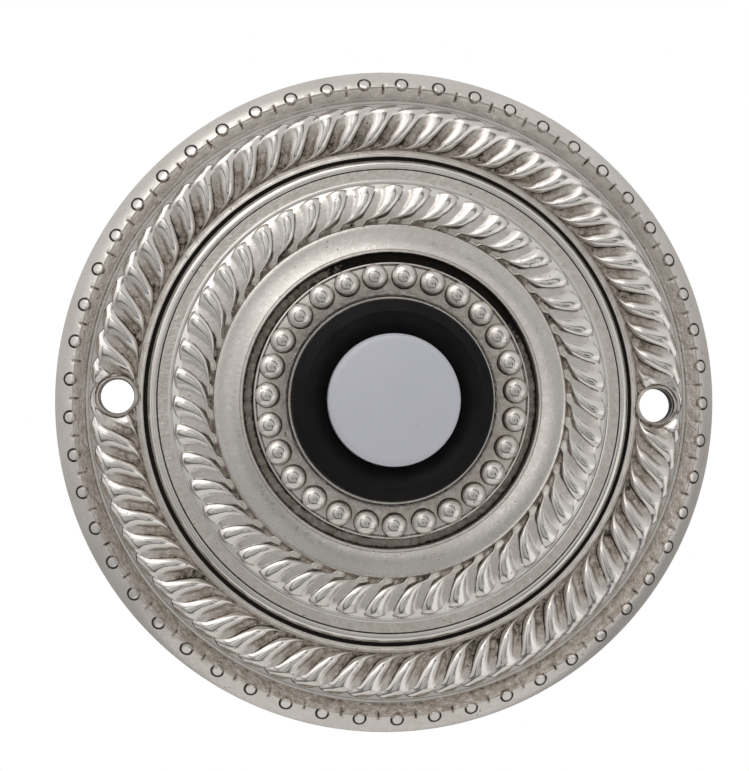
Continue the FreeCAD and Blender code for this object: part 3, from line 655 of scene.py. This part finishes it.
def plate_base():
    """The plate's turned body: the rope's floor, land, well, bore, hollow back and foot."""
    body = Shape()
    # Each corner's third number is its tone of brown patina with painted shade; the well's wall, at 1.0, is
    # painted as the black shade of the gap round the rosette.
    profile = [
        (SLOPE_FOOT - 0.45, FLOOR_HEIGHT, 0.04, 0.0),
        (33.2, FLOOR_HEIGHT, 0.06, 0.0),
        (LAND_OUTER + 0.4, FLOOR_HEIGHT, 0.55, 0.1),
        (LAND_OUTER + 0.05, LAND_HEIGHT - 0.14, 0.2, 0.1),
        (WELL_RADIUS + 0.3, LAND_HEIGHT - 0.06, 0.05, 0.08),
        (WELL_RADIUS + 0.18, LAND_HEIGHT + 0.05, 0.0, 0.08),
        (WELL_RADIUS, LAND_HEIGHT, 0.15, 0.05),
        (WELL_RADIUS - 0.01, LAND_HEIGHT - 0.15, 1.0, 0.0),
        (WELL_RADIUS, WEB_HEIGHT, 1.0, 0.0),
        (BORE_RADIUS, WEB_HEIGHT, 1.0, 0.1),
        (BORE_RADIUS, RELIEF_HEIGHT, RELIEF_TONE, 0.1),
        (28.4, RELIEF_HEIGHT, RELIEF_TONE, 0.0),
        (33.6, RELIEF_HEIGHT, RELIEF_TONE, 0.0),
        (FOOT_INNER, RELIEF_HEIGHT, 0.7, 0.1),
        (FOOT_INNER, 0.0, 0.3, 0.12),
        (PLATE_RADIUS, 0.0, 0.5, 0.14),
        (PLATE_RADIUS, EDGE_HEIGHT - 0.3, 0.0, 0.0),
        (PLATE_RADIUS - 0.12, EDGE_HEIGHT - 0.2, 0.0, 0.0),
        (SLOPE_FOOT, FLOOR_HEIGHT - 0.6, 0.0, 0.0),
    ]
    body.lathe(softened(profile, 3), 256)
    return body.object("plate_base")


def plate_rim():
    """The rim's bevel and slope, with a pellet on its crest after each thin notch."""
    rim = Shape()
    inside = np.array([-1.8, -1.0, -0.4, 0.4, 1.0, 1.8]) * NOTCH_TURN
    between = np.linspace(inside[-1], PELLET_PITCH + inside[0], 10)[1:-1]
    pattern = np.concatenate([inside, between])
    starts = PELLET_TURN + PELLET_PITCH / 2 + np.arange(PELLETS) * PELLET_PITCH
    turns = (starts[:, None] + pattern[None, :]).reshape(-1)
    notched = np.concatenate([[0.0, 0.5, 1.0, 1.0, 0.5, 0.0], np.zeros(len(between))])
    groove = np.tile(notched, PELLETS)[None, :]
    radii = np.array(
        [
            SLOPE_FOOT - 0.4, SLOPE_FOOT - 0.12, SLOPE_FOOT + 0.04, 34.85, 35.15, 35.35, 35.5, 35.65, 35.76,
            35.82, 35.88, 35.96, 36.1, 36.25, 36.35, 36.6, 36.85, 37.1, 37.4, 37.65, 37.85, 37.98, 38.06,
            PLATE_RADIUS,
        ]
    )
    heights = rim_height(radii)
    heights[0] = heights[1] = FLOOR_HEIGHT + 0.004
    heights[-1] = EDGE_HEIGHT - 0.1
    cutting = (blend(35.2, 35.4, radii) * blend(36.35, 36.15, radii))[:, None]
    raised = heights[:, None] - NOTCH_DEPTH * cutting * groove

    # The slope's tone is brown patina with painted shade, and the thin dark lines at its foot and along the
    # crest are painted shade lines.
    on_slope = blend(CREST_RADIUS + 0.02, CREST_RADIUS - 0.12, radii) * blend(34.55, 34.8, radii)
    slope_tone = 0.1 + 0.2 * on_slope
    foot_tone = 0.35 * np.exp(-(((radii - SLOPE_FOOT) / 0.08) ** 2))
    crest_tone = 0.3 * np.exp(-(((radii - CREST_RADIUS - 0.02) / 0.05) ** 2))
    # Painted light: the slope is lighter towards the top of the plate and darker towards the bottom.
    painted_top_light = np.where(radii < CREST_RADIUS, 0.6, 0.0)[:, None] * np.cos(turns)[None, :]
    tone = (slope_tone + foot_tone + crest_tone)[:, None] * (1 - painted_top_light)
    tone = np.maximum(tone, 0.8 * cutting * groove)
    hidden_radii = np.array([[PLATE_RADIUS], [SLOPE_FOOT - 0.4]])
    hidden_heights = np.array([[EDGE_HEIGHT - 0.35], [1.8]])
    points = [place(radii[:, None], turns, raised), place(hidden_radii, turns, hidden_heights)]
    rim.grid(np.concatenate(points), np.concatenate([tone, np.zeros((2, len(turns)))]))
    for index in range(PELLETS):
        add_pellet(rim, PELLET_TURN + index * PELLET_PITCH)
    return rim.object("plate_rim")


def add_pellet(rim, middle):
    """A low round pellet on the rim's crest at a turn, with a groove round it."""
    around = np.arange(PELLET_SEGMENTS) / PELLET_SEGMENTS * FULL
    rings = np.array([0.4, 0.7, 0.8, 0.88, 0.97, 1.08, 1.2, 1.3, 1.3]) * PELLET_RADIUS
    rises = np.array([PELLET_RISE, 0.19, 0.16, 0.12, 0.05, 0.012, 0.012, -0.02, -0.3])
    # Painted shade with patina: a dark ring round each pellet in its groove, lighter on the side towards the
    # crest.
    tones = np.array([0, 0, 0.1, 0.9, 1.0, 1.0, 0.9, 0.2, 0.2])
    outward = PELLET_CIRCLE + rings[:, None] * np.cos(around)[None, :]
    sideways = rings[:, None] * np.sin(around)[None, :]
    radius = np.hypot(outward, sideways)
    turn = middle + np.arctan2(sideways, outward)
    height = rim_height(radius) + rises[:, None]
    crest_side = blend(0.1, -0.8, np.cos(around))[None, :]
    slope_tone = 0.3 * blend(CREST_RADIUS - 0.05, CREST_RADIUS - 0.3, radius)
    tone = np.maximum(tones[:, None] * (1 - 0.35 * crest_side), slope_tone)
    first = rim.total
    rim.grid(place(radius, turn, height), tone, wrap_rows=False)
    top = place(PELLET_CIRCLE, middle, rim_height(np.array(PELLET_CIRCLE)) + PELLET_RISE)
    rim.close(first, PELLET_SEGMENTS, top)
    last = first + (len(rings) - 1) * PELLET_SEGMENTS
    rim.faces.append(tuple(last + column for column in range(PELLET_SEGMENTS)))


def plate_rope():
    """The plate's rope moulding, whose strands sink towards the screw holes."""
    rope = Shape()

    def calm(radii, turns):
        return 0.35 + 0.65 * blend(2.4, 3.6, hole_distance(radii, turns))

    def floor(radii):
        return FLOOR_HEIGHT + 0.1 * blend(32.5, 33.6, radii)

    rope_ring(
        rope, outer_strand, PLATE_STRANDS, PLATE_ROPE_INNER, PLATE_ROPE_OUTER, floor, PLATE_ROPE_LIFT,
        bottom=1.8, phase=math.radians(-2.2), seed=11, calm=calm,
    )
    return rope.object("plate_rope")


def screw_rings():
    """The uneven ring round each screw hole, whose inner wall is the hole's."""
    shape = Shape()
    around = np.arange(HOLE_SEGMENTS) / HOLE_SEGMENTS * FULL
    # The third numbers are tones of brown patina with painted shade; the hole's wall is painted dark with
    # shade.
    ring = softened(
        [
            (SCREW_RADIUS - 0.02, RELIEF_HEIGHT + 0.02, 1.0, 0.0),
            (SCREW_RADIUS - 0.02, 1.9, 1.0, 0.0),
            (SCREW_RADIUS + 0.1, RING_HEIGHT - 0.05, 1.0, 0.0),
            (SCREW_RADIUS + 0.18, RING_HEIGHT, 0.3, 0.08),
            (SCREW_RADIUS + 0.34, RING_HEIGHT - 0.1, 0.25, 0.1),
            (RING_RADIUS - 0.04, LEDGE_HEIGHT, 0.7, 0.08),
            (RING_RADIUS, RELIEF_HEIGHT + 0.02, 0.9, 0.0),
        ]
    )
    radius, height, tone = ring[:, :1], ring[:, 1:2], ring[:, 2:3]
    wave = 0.07 * np.sin(2 * around + 0.7) + 0.06 * np.sin(5 * around + 2.1)
    reach = radius + blend(2.1, 2.4, radius) * blend(2.4, 2.6, height) * wave
    raised = height + blend(2.0, 2.8, height) * wave
    for side in (-1, 1):
        across = reach * np.cos(around) + side * SCREW_OFFSET
        points = np.stack([across, -raised, reach * np.sin(around)], axis=-1)
        shape.grid(points, tone * np.ones((1, HOLE_SEGMENTS)))
    return shape.object("plate_rings")


def make_plate():
    rim, strands, base = plate_rim(), plate_rope(), plate_base()
    seat = [(RING_RADIUS + 0.02, LEDGE_HEIGHT), (RING_RADIUS + 0.12, 6.0)]
    drill = [(SCREW_RADIUS, -1.0), (SCREW_RADIUS, 1.9), (SCREW_RADIUS + 0.2, 6.0)]
    for profile in (seat, drill):
        cutters = [spindle(profile, (side * SCREW_OFFSET, 0.0), HOLE_SEGMENTS) for side in (-1, 1)]
        for thing in (strands, base):
            cut(thing, cutters)
        for cutter in cutters:
            bpy.data.objects.remove(cutter)

    depths = base.data.attributes["cavity"].data
    for corner in base.data.vertices:
        if corner.co.y > -(RELIEF_HEIGHT + 0.1) * MM and corner.co.length < (FOOT_INNER - 0.3) * MM:
            depths[corner.index].value = RELIEF_TONE

    whole = joined([base, rim, strands, screw_rings()], "cast_plate")
    finish_piece(whole, plate_metal, "push_body", "plate_metal", "back_plate")


# Centre rosette

ROSETTE_RADIUS = 27.55
ROSETTE_COLUMNS = 320
ROSETTE_STRANDS = 47
ROPE_INNER = 20.15
ROPE_OUTER = 24.72
ROPE_LIFT = 1.2
RECESS_RADIUS = 16.75
RECESS_FLOOR = 3.6
SHADOW_SIDE = math.radians(18)


def make_rosette():
    body = Shape()
    # The third numbers are tones of brown patina with painted shade; the recess round the collar and the groove
    # near the rim are painted dark with shade.
    profile = [
        (RECESS_RADIUS - 0.3, RECESS_FLOOR, 0.4, 0.0),
        (RECESS_RADIUS - 0.01, RECESS_FLOOR, 1.0, 0.0),
        (RECESS_RADIUS, 4.2, 0.9, 0.0),
        (RECESS_RADIUS, 5.3, 0.35, 0.0),
        (16.82, 5.46, 0.3, 0.05),
        (16.98, 5.5, 0.0, 0.06),
        (17.1, 5.42, 0.4, 0.05),
        *bow((17.2, 5.38), (19.75, 4.72), -0.16, 0.11),
        (20.05, 4.64, 0.05, 0.1),
        (20.3, 4.3, 0.3, 0.0),
        (24.6, 3.75, 0.5, 0.0),
        (24.66, 4.04, 0.1, 0.03),
        (24.85, 4.12, 0.0, 0.1),
        (25.12, 4.1, 0.0, 0.08),
        (25.3, 3.97, 0.25, 0.06),
        (26.32, 3.93, 0.25, 0.03),
        (26.38, 3.9, 0.6, 0.0),
        (26.42, 3.68, 1.0, 0.0),
        (26.48, 3.68, 1.0, 0.0),
        (26.52, 3.9, 0.4, 0.0),
        *bow((26.58, 3.94), (27.47, 3.42), 0.2, 0.0),
        (ROSETTE_RADIUS, 3.2, 0.15, 0.08),
        (ROSETTE_RADIUS, 2.25, 0.6, 0.1),
        (26.2, 2.2, 0.6, 0.1),
        (26.0, 2.6, 0.6, 0.0),
        (17.0, 2.9, 0.6, 0.0),
        (BORE_RADIUS + 0.05, 2.3, 0.6, 0.1),
        (BORE_RADIUS + 0.05, RECESS_FLOOR, 0.6, 0.1),
        (RECESS_RADIUS - 1.05, RECESS_FLOOR, 1.0, 0.0),
        (RECESS_RADIUS - 0.8, RECESS_FLOOR, 0.4, 0.0),
    ]
    rows = softened(profile[::-1])
    body.lathe(rows, ROSETTE_COLUMNS)
    turns = np.arange(ROSETTE_COLUMNS) / ROSETTE_COLUMNS * FULL
    # Painted shadow: the recess wall is darkened near the top of the push, where it lies in shade.
    aside = np.abs((turns - SHADOW_SIDE + math.pi) % FULL - math.pi)
    upper = blend(math.radians(75), math.radians(25), aside)
    body.cavity[-1] = body.cavity[-1] + (0.6 * blend(16.9, 16.8, rows[:, :1]) * upper[None, :]).reshape(-1)
    base = body.object("rosette_base")
    rope = Shape()

    def floor(radii):
        return 4.62 - 0.55 * np.clip((radii - ROPE_INNER) / (ROPE_OUTER - ROPE_INNER), 0, 1) ** 0.8

    rope_ring(
        rope, inner_strand, ROSETTE_STRANDS, ROPE_INNER, ROPE_OUTER, floor, ROPE_LIFT,
        bottom=3.3, phase=math.radians(0.8), seed=23,
    )
    whole = joined([base, rope.object("rosette_rope")], "cast_rosette")
    finish_piece(whole, rosette_metal, "push_body", "rosette_metal", "centre_rosette")


# Beaded collar

BEADS = 27
BEAD_CIRCLE = 14.05
BEAD_RADIUS = 1.49
BEAD_SQUASH = 0.8
BEAD_HEIGHT = 6.1
BEAD_TURN = math.radians(4.6)
COLLAR_RADIUS = 15.62


def make_collar():
    shape = Shape()
    # The third numbers are tones of brown patina with painted shade, darkest in the channel at the collar's
    # edge.
    profile = [
        (10.2, 4.2, 0.3, 0.0),
        (10.2, 6.0, 0.2, 0.0),
        (11.7, 6.0, 0.06, 0.0),
        (12.0, 6.04, 0.3, 0.0),
        (12.5, 6.12, 0.28, 0.2),
        (BEAD_CIRCLE, 6.3, 0.26, 0.0),
        (15.2, 6.14, 0.04, 0.1),
        (15.3, 6.05, 0.5, 0.03),
        (15.36, 6.34, 0.2, 0.05),
        (15.46, 6.4, 0.0, 0.06),
        (15.58, 6.32, 0.1, 0.05),
        (COLLAR_RADIUS, 6.0, 0.6, 0.06),
        (COLLAR_RADIUS, RECESS_FLOOR + 0.02, 0.5, 0.1),
        (14.4, RECESS_FLOOR, 0.8, 0.1),
        (14.3, 4.2, 0.6, 0.0),
    ]
    shape.lathe(softened(profile), 360)
    chance = random.Random(5)
    for index in range(BEADS):
        turn = BEAD_TURN + index * FULL / BEADS + chance.uniform(-0.004, 0.004)
        centre = place(BEAD_CIRCLE + chance.uniform(-0.04, 0.04), turn, BEAD_HEIGHT)
        radius = BEAD_RADIUS * chance.uniform(0.98, 1.01)
        shape.dome(centre, radius, BEAD_SQUASH, rings=14, segments=32, foot=0.5)
    finish_piece(shape.object("beaded_ring"), collar_metal, "push_body", "collar_metal", "beaded_collar")


# Black housing with its threaded barrel

FLANGE_RADIUS = 11.46
BARREL_RADIUS = 9.5
BARREL_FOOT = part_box("switch_housing")[1][1] / MM
BARREL_COLUMNS = 96
NECK_RADIUS = BARREL_RADIUS - 0.02
THREAD_PITCH = 1.0
THREAD_DEPTH = 0.42
THREAD_END = 1.2


def make_housing():
    top = -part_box("switch_housing")[0][1] / MM
    shape = Shape()
    profile = [
        (FLANGE_RADIUS, 6.05, 0.6, 0.05),
        (FLANGE_RADIUS, 7.0, 0.0, 0.25),
        *bow((11.2, 7.75), (9.95, top), 0.12, 0.0, 6),
        (9.75, top - 0.05, 0.0, 0.1),
        *bow((9.6, top - 0.12), (7.75, top - 1.45), -0.1, 0.0, 6),
        (7.55, top - 1.6, 0.3, 0.05),
        (7.55, 4.0, 0.8, 0.0),
        (8.08, 4.0, 0.8, 0.0),
        (8.08, -2.0, 0.8, 0.0),
        (8.5, -2.4, 0.5, 0.0),
        (8.5, -BARREL_FOOT + 0.02, 0.3, 0.1),
        (BARREL_RADIUS - 0.45, -BARREL_FOOT, 0.3, 0.1),
    ]
    upper = softened(profile)
    around = np.arange(BARREL_COLUMNS)[None, :] / BARREL_COLUMNS * FULL
    start = -BARREL_FOOT + 0.3
    steps = int((THREAD_END - start) / THREAD_PITCH * 8)
    heights = np.linspace(start, THREAD_END, steps + 1)[:, None]
    crest = np.abs((heights / THREAD_PITCH - around / FULL) % 1.0 * 2 - 1)
    fade = blend(start, start + 0.9, heights) * blend(THREAD_END, THREAD_END - 1.2, heights)
    thread = NECK_RADIUS - THREAD_DEPTH * (1 - fade) - THREAD_DEPTH * crest * fade
    thread = np.where(heights > THREAD_END - 0.6, np.maximum(thread, BARREL_RADIUS - THREAD_DEPTH), thread)
    points = [
        place(upper[:, :1], around, upper[:, 1:2]),
        place(thread, around, heights),
        place(NECK_RADIUS, around, np.array([[1.6], [6.05]])),
    ]
    shape.grid(np.concatenate(points), 0.0)
    finish_piece(shape.object("black_housing"), black_metal, "push_body", "black_metal", "switch_housing")


# White button

BUTTON_RADIUS = 7.44
BUTTON_CROWN = 0.62
BUTTON_COLUMNS = 160


def make_button():
    low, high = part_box("button_cap")
    top, foot = -low[1] / MM, -high[1] / MM
    shape = Shape()
    rows = [
        (0.02, foot + 2.0, 0.0, 0.0),
        (6.3, foot + 2.0, 0.0, 0.1),
        (6.3, foot, 0.0, 0.1),
        (7.95, foot, 0.0, 0.1),
        (7.95, foot + 1.45, 0.0, 0.1),
        (BUTTON_RADIUS, foot + 1.5, 0.0, 0.05),
        (BUTTON_RADIUS, top - 0.98, 0.0, 0.12),
        (BUTTON_RADIUS - 0.12, top - 0.68, 0.0, 0.12),
    ]
    profile = softened(rows).tolist()
    for share in np.linspace(0.97, 0.0, 26)[1:]:
        radius = max(share * BUTTON_RADIUS, 0.02)
        profile.append((radius, top - BUTTON_CROWN * (radius / BUTTON_RADIUS) ** 2.2, 0.0))
    shape.lathe(np.array(profile), BUTTON_COLUMNS)
    finish_piece(shape.object("white_button"), button_white, "button", "button_white", "button_cap")


# Return spring


def make_spring():
    """The spring's coil, copied from its solid, which stays with the push's body on its fixed end."""
    node = frame["nodes"]["return_spring"]
    coil = bpy.data.objects.new("spring_coil", node.data.copy())
    coil.matrix_world = node.matrix_world.copy()
    bpy.context.scene.collection.objects.link(coil)
    finish_piece(coil, spring_steel, "push_body", "spring_steel", "return_spring")
    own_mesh(coil)


make_plate()
make_rosette()
make_collar()
make_housing()
make_button()
make_spring()

# Solids of the frame that are shown as they are

for material, nodes in (
    (washer_steel, ("lock_washer", "base_retaining_ring", "terminal_washer_left", "terminal_washer_right")),
    (nut_brass, ("retaining_nut", "terminal_nut_left", "terminal_nut_right")),
    (nut_brass, ("terminal_screw_left", "terminal_screw_right")),
    (contact_brass, ("moving_contact", "contact_eyelet", "fixed_contact_left", "fixed_contact_right")),
    (carrier_plastic, ("contact_carrier",)),
    (base_plastic, ("terminal_base",)),
):
    for node in nodes:
        data = frame["nodes"][node].data
        data.materials.clear()
        data.materials.append(material)


# Floor, light and camera


FLOOR_DEPTH = -0.3
FLOOR_RADIUS = 0.3


def turned(azimuth, elevation):
    """The direction from the push to a place, whose azimuth and elevation are seen as the camera's."""
    turn, rise = math.radians(azimuth), math.radians(elevation)
    return Vector((math.sin(turn) * math.cos(rise), -math.cos(turn) * math.cos(rise), math.sin(rise)))


def make_floor():
    work = bmesh.new()
    spot = Matrix.Translation((0, 0, FLOOR_DEPTH))
    bmesh.ops.create_circle(work, cap_ends=True, segments=96, radius=FLOOR_RADIUS, matrix=spot)
    data = bpy.data.meshes.new("floor")
    work.to_mesh(data)
    work.free()
    floor = bpy.data.objects.new("floor", data)
    bpy.context.scene.collection.objects.link(floor)
    data.materials.append(moulded("floor_pale", (0.9, 0.9, 0.89), (0.88, 0.88, 0.87), 0.6, 0.02, 60.0))


def make_light(name, azimuth, elevation, distance, size, power):
    """A square soft light that faces the push."""
    lamp = bpy.data.lights.new(name, "AREA")
    lamp.shape = "SQUARE"
    lamp.size = size
    lamp.energy = power
    back = turned(azimuth, elevation)
    thing = bpy.data.objects.new(name, lamp)
    thing.location = back * distance
    thing.rotation_mode = "QUATERNION"
    thing.rotation_quaternion = (-back).to_track_quat("-Z", "Y")
    thing.visible_camera = False
    bpy.context.scene.collection.objects.link(thing)


# The studio's light rises from low to high along an axis. It is dimmer in front of the push and in a halo round
# its front. A softbox has a direction, the cosines where it starts and is full, and what it adds. A gap is a
# dark patch with its centre and half sizes as shares of a direction's x and z.

SURROUND_AXIS = (-0.25, -0.3, 1.0)
SURROUND_LOW = 0.42
SURROUND_HIGH = 0.95
FRONT_AXIS = (-0.08, -1, 0)
FRONT_DIP = 0.22
HALO_OUTER = (0.67, 0.72)
HALO_INNER = (0.79, 0.84)
HALO_DIP = 0.75
SOFTBOXES = (((-0.55, -0.55, 0.65), 0.6, 0.98, 0.36), ((0.72, -0.6, -0.3), 0.7, 0.98, 0.26))
GAPS = ((0.33, -0.15, 0.09, 0.18), (-0.06, -0.12, 0.05, 0.14))
GAP_DIP = 0.97


class Studio:
    """The world's node tree with short ways to shape its light by direction."""

    def __init__(self, name):
        self.world = bpy.data.worlds.new(name)
        self.world.use_nodes = True
        self.tree = self.world.node_tree
        self.tree.nodes.clear()
        self.way = self.tree.nodes.new("ShaderNodeTexCoord").outputs["Generated"]

    def along(self, direction, low, high, start, end):
        """A soft step from start to end as the light's way comes nearer to a direction."""
        dot = self.tree.nodes.new("ShaderNodeVectorMath")
        dot.operation = "DOT_PRODUCT"
        dot.inputs[1].default_value = Vector(direction).normalized()
        self.tree.links.new(self.way, dot.inputs[0])
        ranged = self.tree.nodes.new("ShaderNodeMapRange")
        ranged.interpolation_type = "SMOOTHSTEP"
        for key, value in (("From Min", low), ("From Max", high), ("To Min", start), ("To Max", end)):
            ranged.inputs[key].default_value = value
        self.tree.links.new(dot.outputs["Value"], ranged.inputs["Value"])
        return ranged.outputs[0]

    def joined(self, operation, first, second):
        made = self.tree.nodes.new("ShaderNodeMath")
        made.operation = operation
        for value, socket in ((first, made.inputs[0]), (second, made.inputs[1])):
            if isinstance(value, float):
                socket.default_value = value
            else:
                self.tree.links.new(value, socket)
        return made.outputs[0]

    def between(self, axis, middle, half, soft):
        """1 where the way's share of an axis is within half of middle, with soft edges."""
        back = tuple(-part for part in axis)
        above = self.along(axis, middle - half, middle - half + soft, 0.0, 1.0)
        below = self.along(back, -middle - half, -middle - half + soft, 0.0, 1.0)
        return self.joined("MULTIPLY", above, below)

    def dimmed(self, light, shade, share=1.0):
        shade = self.joined("MULTIPLY", shade, share)
        return self.joined("MULTIPLY", light, self.joined("SUBTRACT", 1.0, shade))

    def show(self, light):
        """White where the camera looks past the push, and the light for everything else."""
        nodes, links = self.tree.nodes, self.tree.links
        seen, soft = nodes.new("ShaderNodeBackground"), nodes.new("ShaderNodeBackground")
        seen.inputs["Color"].default_value = (1, 1, 1, 1)
        links.new(light, soft.inputs["Strength"])
        path = nodes.new("ShaderNodeLightPath")
        direct = self.joined("MAXIMUM", path.outputs["Is Camera Ray"], path.outputs["Is Transmission Ray"])
        choose = nodes.new("ShaderNodeMixShader")
        for value, socket in zip((direct, soft.outputs[0], seen.outputs[0]), choose.inputs):
            links.new(value, socket)
        links.new(choose.outputs[0], nodes.new("ShaderNodeOutputWorld").inputs["Surface"])
        bpy.context.scene.world = self.world


def make_world():
    studio = Studio("studio")
    light = studio.along(SURROUND_AXIS, -1.0, 0.8, SURROUND_LOW, SURROUND_HIGH)
    light = studio.joined("MULTIPLY", light, studio.along(FRONT_AXIS, 0.8, 0.99, 1.0, 1.0 - FRONT_DIP))
    within = studio.along(FRONT_AXIS, *HALO_OUTER, 0.0, 1.0)
    halo = studio.joined("MULTIPLY", within, studio.along(FRONT_AXIS, *HALO_INNER, 1.0, 0.0))
    light = studio.dimmed(light, halo, HALO_DIP)
    for direction, low, high, amount in SOFTBOXES:
        light = studio.joined("ADD", light, studio.along(direction, low, high, 0.0, amount))
    for side, rise, half_width, half_height in GAPS:
        beside = studio.between((1, 0, 0), side, half_width, 0.03)
        upright = studio.between((0, 0, 1), rise, half_height, 0.05)
        patch = studio.joined("MULTIPLY", beside, upright)
        patch = studio.joined("MULTIPLY", patch, studio.along((0, -1, 0), 0.0, 0.1, 0.0, 1.0))
        light = studio.dimmed(light, patch, GAP_DIP)
    studio.show(light)


PICTURE = (749, 771)
DISTANCE = 220.0
AZIMUTH = -4.9
ELEVATION = -0.92
FOCAL_PIXELS = 1897.5
AIM_PIXELS = (13.29, 15.46)
ROLL = 0.9


def make_camera():
    """The photograph's viewpoint: a little left of the axis, aimed past the push's centre and rolled."""
    lens = bpy.data.cameras.new("view")
    lens.sensor_width = 36.0
    lens.lens = FOCAL_PIXELS * 36.0 / max(PICTURE)
    lens.clip_start, lens.clip_end = 0.01, 10.0
    back = turned(AZIMUTH, ELEVATION)
    right = (-back).cross(Vector((0, 0, 1))).normalized()
    up = right.cross(-back)
    eye = back * DISTANCE * MM
    roll = math.radians(ROLL)
    aim_right, aim_up = -AIM_PIXELS[0] / FOCAL_PIXELS, AIM_PIXELS[1] / FOCAL_PIXELS
    forward = (-back + right * aim_right + up * aim_up).normalized()
    across = forward.cross(up).normalized()
    upward = across.cross(forward)
    rolled_right = across * math.cos(roll) + upward * math.sin(roll)
    rolled_up = upward * math.cos(roll) - across * math.sin(roll)
    pose = Matrix((rolled_right, rolled_up, -forward)).transposed().to_4x4()
    pose.translation = eye
    camera = bpy.data.objects.new("view", lens)
    camera.matrix_world = pose
    bpy.context.scene.collection.objects.link(camera)
    bpy.context.scene.camera = camera


make_floor()
make_light("key", -40, 48, 0.6, 0.5, 0.5)
make_light("fill", 50, -20, 0.7, 0.5, 0.25)
make_world()
make_camera()
bpy.context.scene.view_settings.view_transform = "Standard"
